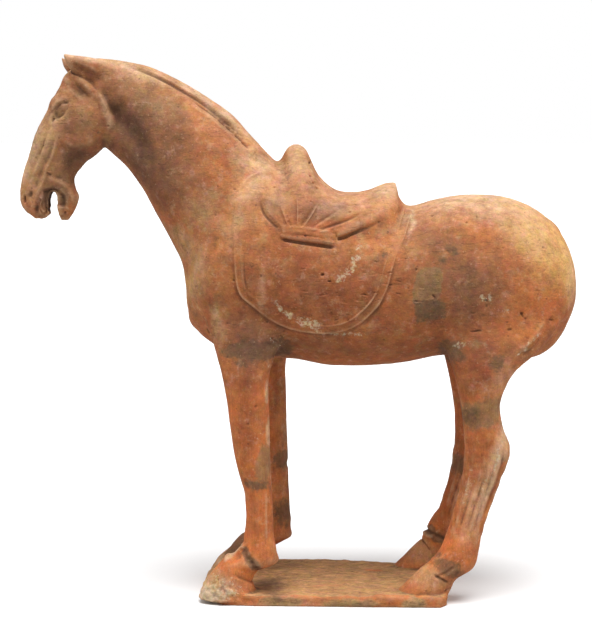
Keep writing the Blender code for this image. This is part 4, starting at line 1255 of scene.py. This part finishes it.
WHITE = [(LEFT, 8, 185, 12, 4, -14, 1.0), (LEFT, 30, 178.6, 18, 2.4, 0, 0.9),
         (LEFT, 108, 172, 8, 3, 20, 0.8), (LEFT, -8, 194, 11, 2.4, -45, 0.95),
         (LEFT, 36, 222, 12, 3.4, 62, 0.95), (LEFT, 30, 215, 5, 3.4, 0, 0.9),
         (LEFT, 40.8, 234.4, 2, 2.6, 0, 0.9), (LEFT, -12, 235, 8, 3, -10, 0.5),
         (LEFT, 16, 198, 6, 3, 0, 0.5), (LEFT, 30, 184, 14, 3, 8, 0.4), (LEFT, 54, 201, 12, 2.4, 52, 0.4),
         (LEFT, 124, 202, 7, 3.6, 0, 0.8), (LEFT, 137, 194, 8, 3, 10, 0.5),
         (LEFT, 130, 96, 16, 1.6, 76, 0.9), (LEFT, 134, 110, 12, 1.6, 80, 0.8),
         (LEFT, 112, 76, 26, 1.8, 76, 0.7), (LEFT, 122, 78, 26, 1.8, 74, 0.65),
         (LEFT, 113, 44, 20, 1.8, 70, 0.6), (LEFT, -52, 9, 18, 7, 0, 1.0),
         (LEFT, -46, 15, 13, 6, -20, 0.75), (LEFT, -58, 5, 12, 8, 0, 1.15),
         (LEFT, -12.5, 171.5, 9, 0.9, -45, 0.8), (LEFT, -12.5, 161, 6, 0.9, 15, 0.8),
         (LEFT, -19, 155, 6, 0.9, 58, 0.8), (LEFT, -17.6, 132, 30, 1.6, 90, 0.5),
         (LEFT, -24, 112, 4, 3, 0, 0.6), (LEFT, -25, 50, 28, 1.4, 90, 0.35),
         (LEFT, 152, 172, 16, 3, 40, 0.8), (RIGHT, 20, 214, 12, 5, 40, 0.8),
         (RIGHT, 126, 84, 16, 3, 70, 0.7), (RIGHT, -8, 66, 16, 2, 90, 0.4)]


def stain(skin, marks):
    """One mask whose stains have their edge where it passes a half."""
    points = wobbly(skin.points, 1.6, 4.0, (31, None, 32))
    mask = np.zeros(len(points))
    for side, x, z, long, short, turn, strength in marks:
        one = strength * np.clip(1.5 - oval(points, (x, z), long, short, turn), 0, 1)
        mask = np.maximum(mask, one * on_side(skin, side, 12))
    return mask


# %% [markdown]
# The slab is tan on top, where it was never wiped. Orange clay shows through where it was rubbed, and
# patches of the tan run down over its sides. Its marks are given from above, as x, y, half length, half
# width and strength.

# %% Marks on the slab
RUBBED = [(16, -26, 26, 7, 0.5), (54, 19, 10, 7, 0.8), (-4, -56, 60, 3, 0.8), (66, -57, 40, 3, 0.8),
          (62, 34, 14, 6, 0.5)]
# Painted shadows on the slab, by the hooves
SHADOWS_BY_HOOVES = [(-20, -18, 11, 13, 1.0), (-12, 30, 14, 10, 0.4), (86, -10, 12, 12, 0.4)]
TAN_SIDES = [(LEFT, -9, 2.8, 13, 3.4, 0, 1.4), (LEFT, 36, 2.6, 17, 3.0, 0, 1.3),
             (LEFT, 76, 3, 8, 4, 0, 1.3), (RIGHT, 10, 4, 30, 5, 0, 1.0), (RIGHT, 78, 4, 16, 5, 0, 0.9)]


def from_above(skin, marks):
    """A soft mask from marks on the slab."""
    points = wobbly(skin.points, 4.0, 11.0, (51, 52, 53))
    rest = np.ones(len(points))
    for x, y, long, wide, strength in marks:
        away = np.hypot((points[:, 0] - x) / long, (points[:, 1] - y) / wide)
        rest *= 1 - strength * bell(away / MARK_REACH)
    return (1 - rest) * smooth((11 - skin.points[:, 2]) / 2)


# %% Two square patches on the left flank
OLIVE_PATCH = [(76.7, 210.8), (78.0, 219.3), (85.1, 223.1), (93.5, 221.9), (94.7, 214.1), (92.8, 201.1),
               (74.8, 199.8), (75.4, 207.6)]
GREY_PATCH = [(75.0, 201.0), (77.0, 185.4), (88.0, 187.6), (97.6, 188.0), (97.6, 199.4), (90.0, 202.0)]


def patch(skin, outline):
    """A mask that rises across the edge of an outline on the left flank."""
    x, y, z = wobbly(skin.points, 0.9, 3.0, (61, 62, 63)).T
    return np.clip(0.5 + depth_inside(x, z, outline) / 2.4, 0, 1) * (y < 0)


# %% Store the masks on the mesh
# Painted highlight: surfaces that face up, high on the horse, are made paler, as if lit from above
top_highlight = smooth((skin.normals[:, 2] - 0.25) / 0.65) * smooth((skin.points[:, 2] - 240) / 20)
x, y, z = skin.points.T
on_slab = smooth((8.8 - z) / 1.0)
slab_top = smooth((skin.normals[:, 2] - 0.5) / 0.4) * (1 - from_above(skin, RUBBED))
slab_top = on_slab * np.maximum(slab_top, stain(skin, TAN_SIDES))
# Takes the dirt and painted shade of the hollows off the folds of the cover
hollow = hollow * (1 - wash(skin, HOLLOWS_KEPT_LIGHT))
# Painted shade and painted shadows, with a few dark cracks
painted_shade_and_cracks = 1 - (1 - wash(skin, SHADE_AND_CRACKS, 1.5)) * (1 - from_above(skin, SHADOWS_BY_HOOVES))
leg = smooth((158 - z) / 16) * smooth((z - 8) / 6)
grey_patch = patch(skin, GREY_PATCH)
grey = np.maximum(stain(skin, GREY), 0.75 * grey_patch)
olive = np.maximum(stain(skin, OLIVE), np.maximum(patch(skin, OLIVE_PATCH), 0.6 * grey_patch))
masks = {"hollow": hollow, "worn": worn * (1 - 0.6 * on_slab) * (1 - 0.8 * painted_shade_and_cracks), "leg": leg,
         "slab_top": slab_top, "slip_and_highlight": 1 - (1 - wash(skin, SLIP_AND_HIGHLIGHTS)) * (1 - 0.35 * top_highlight),
         "brown": wash(skin, BROWN), "tan": wash(skin, TANNED), "deep": wash(skin, DEEP_RED_AND_SHADE),
         "bare": wash(skin, BARE), "yellow": wash(skin, YELLOW), "painted_shade_and_cracks": painted_shade_and_cracks, "grey": grey, "olive": olive,
         "white": stain(skin, WHITE)}
for name, mask in masks.items():
    layer = horse_mesh.attributes.new(name, "FLOAT", "POINT")
    layer.data.foreach_set("value", mask.astype(np.float32))
    print(name, "mean", round(float(mask.mean()), 3))

# %% Place the horse
horse = bpy.data.objects.new("pottery_horse", horse_mesh)
bpy.context.scene.collection.objects.link(horse)
horse_mesh.vertices.foreach_set("co", ((skin.points - MIDDLE) * MM).astype(np.float32).ravel())
horse_mesh.update()
horse_mesh.shade_smooth()
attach(horse, "root")
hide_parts("horse_figure")

# %% [markdown]
# ## The fired clay
#
# One material covers the horse, because it is one piece of clay. The masks say where each colour lies,
# and noise at several sizes breaks them up, so that no edge is clean and no area is even.
#
# The helpers add a node, feed its inputs with numbers or with other nodes' outputs, and give back its
# output. Noise sizes are in millimetres.

# %% Node helpers
def node(tree, kind, inputs, **settings):
    """Adds a node with these settings. Inputs are numbers, colours or sockets, by name or number."""
    made = tree.nodes.new(kind)
    for name, value in settings.items():
        setattr(made, name, value)
    for key, value in inputs.items():
        if isinstance(value, bpy.types.NodeSocket):
            tree.links.new(value, made.inputs[key])
        else:
            made.inputs[key].default_value = value
    return made


def maths(tree, operation, first, second=0.0, clamp=False):
    """One sum on two numbers."""
    made = node(tree, "ShaderNodeMath", {0: first, 1: second}, operation=operation, use_clamp=clamp)
    return made.outputs[0]


def vector_maths(tree, operation, first, second):
    """One sum on two vectors or colours."""
    return node(tree, "ShaderNodeVectorMath", {0: first, 1: second}, operation=operation).outputs[0]


def blend(tree, share, first, second):
    """A colour between two: the first where the share is 0."""
    return node(tree, "ShaderNodeMix", {0: share, 6: first, 7: second}, data_type="RGBA").outputs[2]


def step(tree, value, low, high):
    """Rises smoothly from 0 at low to 1 at high, or falls if low is above high."""
    made = node(tree, "ShaderNodeMapRange", {"Value": value, "From Min": low, "From Max": high},
                interpolation_type="SMOOTHSTEP")
    return made.outputs["Result"]


def noise(tree, place, size, detail=2.0, rough=0.5, twist=0.0, output="Fac"):
    """Cloudy noise from 0 to 1 with clouds of that size."""
    made = node(tree, "ShaderNodeTexNoise", {"Vector": place, "Scale": 1 / size, "Detail": detail,
                                             "Roughness": rough, "Distortion": twist})
    return made.outputs[output]

# %% [markdown]
# Three groups do the breaking up. *Broken wash* lets a soft mask through in clouds. *Ragged edge* turns a
# mask into a patch with an eaten edge. *Flaking* leaves only scattered flakes of a crust.

# %% Group: broken wash
MASK_INPUTS = {"Mask": "Float", "Place": "Vector", "Scale": "Float", "Bite": "Float"}


def mask_group(name):
    """A new node group that takes a mask and gives one back, with its tree, its inputs and its output."""
    tree = bpy.data.node_groups.new(name, "ShaderNodeTree")
    for label, kind in MASK_INPUTS.items():
        tree.interface.new_socket(label, in_out="INPUT", socket_type="NodeSocket" + kind)
    tree.interface.new_socket("Mask", in_out="OUTPUT", socket_type="NodeSocketFloat")
    return tree, tree.nodes.new("NodeGroupInput").outputs, tree.nodes.new("NodeGroupOutput").inputs["Mask"]


def clouds_in(tree, given, rough):
    """Clouds from minus the bite to plus the bite."""
    inputs = {"Vector": given["Place"], "Scale": given["Scale"], "Detail": 6.0, "Roughness": rough}
    clouds = node(tree, "ShaderNodeTexNoise", inputs).outputs["Fac"]
    return maths(tree, "MULTIPLY", maths(tree, "SUBTRACT", clouds, 0.5), given["Bite"])


wash_group, given, result = mask_group("broken_wash")
lifted = maths(wash_group, "ADD", clouds_in(wash_group, given, 0.65), 1.0)
wash_group.links.new(maths(wash_group, "MULTIPLY", given["Mask"], lifted, clamp=True), result)

# %% Group: ragged edge
edge_group, given, result = mask_group("ragged_edge")
bitten = maths(edge_group, "ADD", given["Mask"], clouds_in(edge_group, given, 0.75))
near_mask = step(edge_group, given["Mask"], 0.02, 0.3)
shown = maths(edge_group, "MULTIPLY", step(edge_group, bitten, 0.25, 0.8), near_mask)
edge_group.links.new(shown, result)

# %% Group: flaking
flake_group, given, result = mask_group("flaking")
bitten = maths(flake_group, "ADD", given["Mask"], clouds_in(flake_group, given, 0.8))
flakes = step(flake_group, bitten, 0.68, 1.2)
kept = maths(flake_group, "MULTIPLY", flakes, step(flake_group, given["Mask"], 0.05, 0.3))
flake_group.links.new(kept, result)


# %% Colours
def colour(red, green, blue):
    """A solid colour, in linear light."""
    return (red, green, blue, 1.0)


CLAY_RED = colour(0.40, 0.128, 0.047)
CLAY_ORANGE = colour(0.52, 0.195, 0.068)
CLAY_BARE = colour(0.56, 0.160, 0.044)
# Deeper red of the clay, also used as painted shade
DEEP_RED_CLAY_AND_SHADE = colour(0.255, 0.073, 0.028)
# Brown of earth stains, also used as painted shade
BROWN_EARTH_AND_SHADE = colour(0.25, 0.112, 0.056)
# The dark of painted shade and of cracks
SHADE_AND_CRACK_DARK = colour(0.095, 0.047, 0.030)
TAN = colour(0.46, 0.27, 0.125)
# Pale slip, also used as painted highlight
SLIP_PALE_AND_HIGHLIGHT = colour(0.69, 0.45, 0.27)
SLIP_PINK = colour(0.62, 0.36, 0.24)
SLIP_YELLOW = colour(0.66, 0.36, 0.120)
STAIN_GREY = colour(0.160, 0.089, 0.047)
STAIN_OLIVE = colour(0.27, 0.165, 0.076)
CRUST_WHITE = colour(0.70, 0.57, 0.38)
# The dark of dirt, specks and scratches, and of the painted shade in the hollows
DIRT_AND_SHADE = colour(0.080, 0.040, 0.024)
SLAB_TAN = colour(0.45, 0.245, 0.104)

terracotta = bpy.data.materials.new("terracotta")
terracotta.use_nodes = True
tree = terracotta.node_tree
shader = tree.nodes["Principled BSDF"]
in_metres = node(tree, "ShaderNodeTexCoord", {}).outputs["Object"]
place = vector_maths(tree, "MULTIPLY", in_metres, (1000, 1000, 1000))       # in millimetres
mask = {name: node(tree, "ShaderNodeAttribute", {}, attribute_name=name).outputs["Fac"] for name in masks}


# %% Ways to lay a colour over another
def laid(kind, base, tint, name, size, bite, strength=1.0):
    """The base colour with the tint over it, where the named mask lets it through that kind of group."""
    inputs = {"Mask": mask[name], "Place": place, "Scale": 1 / size, "Bite": bite}
    share = node(tree, "ShaderNodeGroup", inputs, node_tree=kind).outputs[0]
    if strength < 1.0:
        share = maths(tree, "MULTIPLY", share, strength)
    return blend(tree, share, base, tint)


def cloudy(base, tint, size, low, high, strength):
    """The base colour with clouds of the tint all over."""
    share = maths(tree, "MULTIPLY", step(tree, noise(tree, place, size, 5.0, 0.68), low, high), strength)
    return blend(tree, share, base, tint)


# %% Colours, from the clay outwards
tone = blend(tree, step(tree, noise(tree, place, 28.0, 4.0, 0.6), 0.36, 0.66), CLAY_RED, CLAY_ORANGE)
tone = cloudy(tone, TAN, 15.0, 0.50, 0.64, 0.5)
tone = cloudy(tone, BROWN_EARTH_AND_SHADE, 11.0, 0.52, 0.66, 0.5)
tone = laid(wash_group, tone, CLAY_BARE, "bare", 8.0, 2.0)
# Deeper red, and painted shade
tone = laid(wash_group, tone, DEEP_RED_CLAY_AND_SHADE, "deep", 9.0, 2.0)
# Earth stains, and painted shade along the belly
tone = laid(wash_group, tone, BROWN_EARTH_AND_SHADE, "brown", 9.0, 1.6)
tone = laid(wash_group, tone, TAN, "tan", 7.0, 2.0)
tone = laid(wash_group, tone, SLIP_YELLOW, "yellow", 8.0, 2.0)
tone = cloudy(tone, SLIP_PINK, 7.0, 0.54, 0.68, 0.28)
# Slip, and painted highlight on the tops and lit edges
tone = laid(wash_group, tone, SLIP_PALE_AND_HIGHLIGHT, "slip_and_highlight", 6.0, 2.6)
tone = laid(edge_group, tone, SLAB_TAN, "slab_top", 9.0, 0.9, 0.9)
tone = laid(edge_group, tone, STAIN_OLIVE, "olive", 5.0, 1.6, 0.7)
tone = laid(edge_group, tone, STAIN_GREY, "grey", 4.0, 1.8, 0.8)
# Painted shade, and dark cracks
tone = laid(wash_group, tone, SHADE_AND_CRACK_DARK, "painted_shade_and_cracks", 6.0, 1.4, 0.8)
tone = laid(flake_group, tone, CRUST_WHITE, "white", 3.4, 3.6, 0.7)

# %% [markdown]
# The slip was brushed on: lengthwise on the body, and up and down on the legs. Two stretched noises make
# the brush marks, and a mask picks between them. A fine noise in colour shifts the hue from grain to
# grain.

# %% Brush marks, mottling and grain
lengthwise = noise(tree, vector_maths(tree, "MULTIPLY", place, (0.32, 0.6, 1.0)), 1.7, 4.0, 0.68, 0.8)
upright = noise(tree, vector_maths(tree, "MULTIPLY", place, (1.0, 0.8, 0.10)), 1.4, 4.0, 0.68, 0.3)
brushes = {0: mask["leg"], 2: lengthwise, 3: upright}
brushed = node(tree, "ShaderNodeMix", brushes, data_type="FLOAT").outputs[0]
mottle = noise(tree, place, 13.0, 7.0, 0.8)
fine = noise(tree, place, 1.1, 3.0, 0.75)
hues = noise(tree, place, 6.0, 6.0, 0.8, output="Color")


def around_zero(value, amount):
    """Turns a noise from 0 to 1 into one around zero, of that amount."""
    return maths(tree, "MULTIPLY", maths(tree, "SUBTRACT", value, 0.5), amount)


shade = maths(tree, "ADD", around_zero(brushed, 0.6), around_zero(mottle, 1.6))
shade = maths(tree, "ADD", shade, around_zero(fine, 0.55))
shade = maths(tree, "ADD", shade, maths(tree, "MULTIPLY", around_zero(lengthwise, 1.3), mask["slab_top"]))
shade = maths(tree, "ADD", shade, 0.95)
tinge = vector_maths(tree, "SUBTRACT", hues, (0.5, 0.5, 0.5))
tinge = vector_maths(tree, "MULTIPLY", tinge, (0.5, 0.9, 1.3))
tone = vector_maths(tree, "MULTIPLY", tone, vector_maths(tree, "ADD", tinge, (1.0, 1.0, 1.0)))
tone = node(tree, "ShaderNodeVectorMath", {0: tone, "Scale": shade}, operation="SCALE").outputs[0]

# %% Flecks, specks and scratches
flecks = step(tree, noise(tree, place, 2.2, 3.0, 0.6), 0.64, 0.72)
cells = node(tree, "ShaderNodeTexVoronoi", {"Vector": place, "Scale": 1 / 6.5}).outputs
speck_here = step(tree, node(tree, "ShaderNodeSeparateColor", {0: cells["Color"]}).outputs[0], 0.72, 0.76)
specks = maths(tree, "MULTIPLY", step(tree, cells["Distance"], 0.13, 0.05), speck_here)
wavy = noise(tree, vector_maths(tree, "MULTIPLY", place, (0.22, 0.7, 1.1)), 2.4, 2.0, 0.5, 1.6)
scratches = maths(tree, "MULTIPLY", step(tree, wavy, 0.62, 0.68), maths(tree, "SUBTRACT", 1.0, mask["leg"]))
tone = blend(tree, maths(tree, "MULTIPLY", flecks, 0.25), tone, SLIP_PALE_AND_HIGHLIGHT)
tone = blend(tree, maths(tree, "MULTIPLY", scratches, 0.2), tone, DIRT_AND_SHADE)
tone = blend(tree, maths(tree, "MULTIPLY", specks, 0.5), tone, DIRT_AND_SHADE)

# %% Dirt and painted shade in the hollows, and worn edges
# Dirt and painted shade in the hollows
tone = laid(wash_group, tone, DIRT_AND_SHADE, "hollow", 3.0, 1.2, 0.62)
tone = laid(wash_group, tone, SLIP_PALE_AND_HIGHLIGHT, "worn", 2.5, 2.2, 0.42)
tree.links.new(tone, shader.inputs["Base Color"])

# %% Roughness and grain
rough = maths(tree, "ADD", maths(tree, "MULTIPLY", mottle, 0.3), 0.68)
tree.links.new(rough, shader.inputs["Roughness"])
height = maths(tree, "ADD", maths(tree, "MULTIPLY", brushed, 0.5), maths(tree, "MULTIPLY", fine, 0.4))
height = maths(tree, "ADD", height, maths(tree, "MULTIPLY", noise(tree, place, 3.2, 4.0, 0.65), 0.9))
height = maths(tree, "SUBTRACT", height, maths(tree, "MULTIPLY", maths(tree, "ADD", specks, scratches), 0.4))
bump = node(tree, "ShaderNodeBump", {"Strength": 0.6, "Distance": 0.7 * MM, "Height": height})
tree.links.new(bump.outputs["Normal"], shader.inputs["Normal"])
shader.inputs["Specular IOR Level"].default_value = 0.25
horse_mesh.materials.append(terracotta)
print("nodes in the clay:", len(tree.nodes))

# %% [markdown]
# ## Floor, light and camera
#
# A plain pale floor runs on into a white surround. One broad soft light stands almost overhead and a
# little to the front, and two weaker ones, like pale walls, light the horse from the left and the right.
# A white floor would throw so much light upwards that the belly lost its shade, so the floor is pale to
# the camera and greyer to the light.

# %% Floor
FLOOR_SIZE = 60.0                       # metres, so that its edge lies out of sight
PAPER_LIT = colour(0.47, 0.46, 0.45)    # what the light meets
PAPER_SEEN = colour(0.92, 0.92, 0.92)   # what the camera meets
bpy.ops.mesh.primitive_plane_add(size=FLOOR_SIZE, location=(0, 0, 0))
floor = bpy.context.object
floor.name = "floor"
paper = bpy.data.materials.new("pale_paper")
paper.use_nodes = True
paper_shader = paper.node_tree.nodes["Principled BSDF"]
is_seen = node(paper.node_tree, "ShaderNodeLightPath", {}).outputs["Is Camera Ray"]
paper_tone = blend(paper.node_tree, is_seen, PAPER_LIT, PAPER_SEEN)
paper.node_tree.links.new(paper_tone, paper_shader.inputs["Base Color"])
paper_shader.inputs["Roughness"].default_value = 1.0
paper_shader.inputs["Specular IOR Level"].default_value = 0.0
floor.data.materials.append(paper)

# %% Light
SKY = 0.36                # light from all round, on a scale where the white surround is 1
world = bpy.data.worlds.new("studio")
bpy.context.scene.world = world
world.use_nodes = True
sky = world.node_tree
light = sky.nodes["Background"]
light.inputs["Color"].default_value = (1, 1, 1, 1)
light.inputs["Strength"].default_value = SKY
seen = node(sky, "ShaderNodeBackground", {"Color": (1, 1, 1, 1), "Strength": 1.0}).outputs[0]
is_seen = node(sky, "ShaderNodeLightPath", {}).outputs["Is Camera Ray"]
both = node(sky, "ShaderNodeMixShader", {0: is_seen, 1: light.outputs[0], 2: seen}).outputs[0]
sky.links.new(both, sky.nodes["World Output"].inputs["Surface"])


def soft_sun(name, source, strength, spread):
    """Even light from one direction, given as a point that it comes from, with soft shadows."""
    lamp = bpy.data.lights.new(name, "SUN")
    lamp.energy = strength
    lamp.angle = math.radians(spread)
    made = bpy.data.objects.new(name, lamp)
    made.rotation_euler = Vector(source).to_track_quat("Z", "Y").to_euler()
    bpy.context.scene.collection.objects.link(made)


soft_sun("key", (0.06, -0.28, 0.95), 3.3, 40)
soft_sun("left_wall", (-0.95, -0.05, 0.20), 0.90, 80)
soft_sun("right_wall", (0.95, -0.05, 0.28), 0.95, 80)

# %% Camera
VIEW_DOWN = math.radians(5.7395)        # how far the camera looks down
CAMERA_BACK = 1.3                       # metres from the horse's centre plane
CAMERA_HEIGHT = 0.313585                # metres above the floor
camera = bpy.data.objects.new("camera", bpy.data.cameras.new("camera"))
camera.data.lens = 109.45
camera.data.sensor_width = 36.0
camera.location = (-MIDDLE[0] * MM, -CAMERA_BACK - MIDDLE[1] * MM, CAMERA_HEIGHT)
camera.rotation_euler = (math.pi / 2 - VIEW_DOWN, 0, 0)
bpy.context.scene.collection.objects.link(camera)
bpy.context.scene.camera = camera
bpy.context.scene.view_settings.view_transform = "Standard"
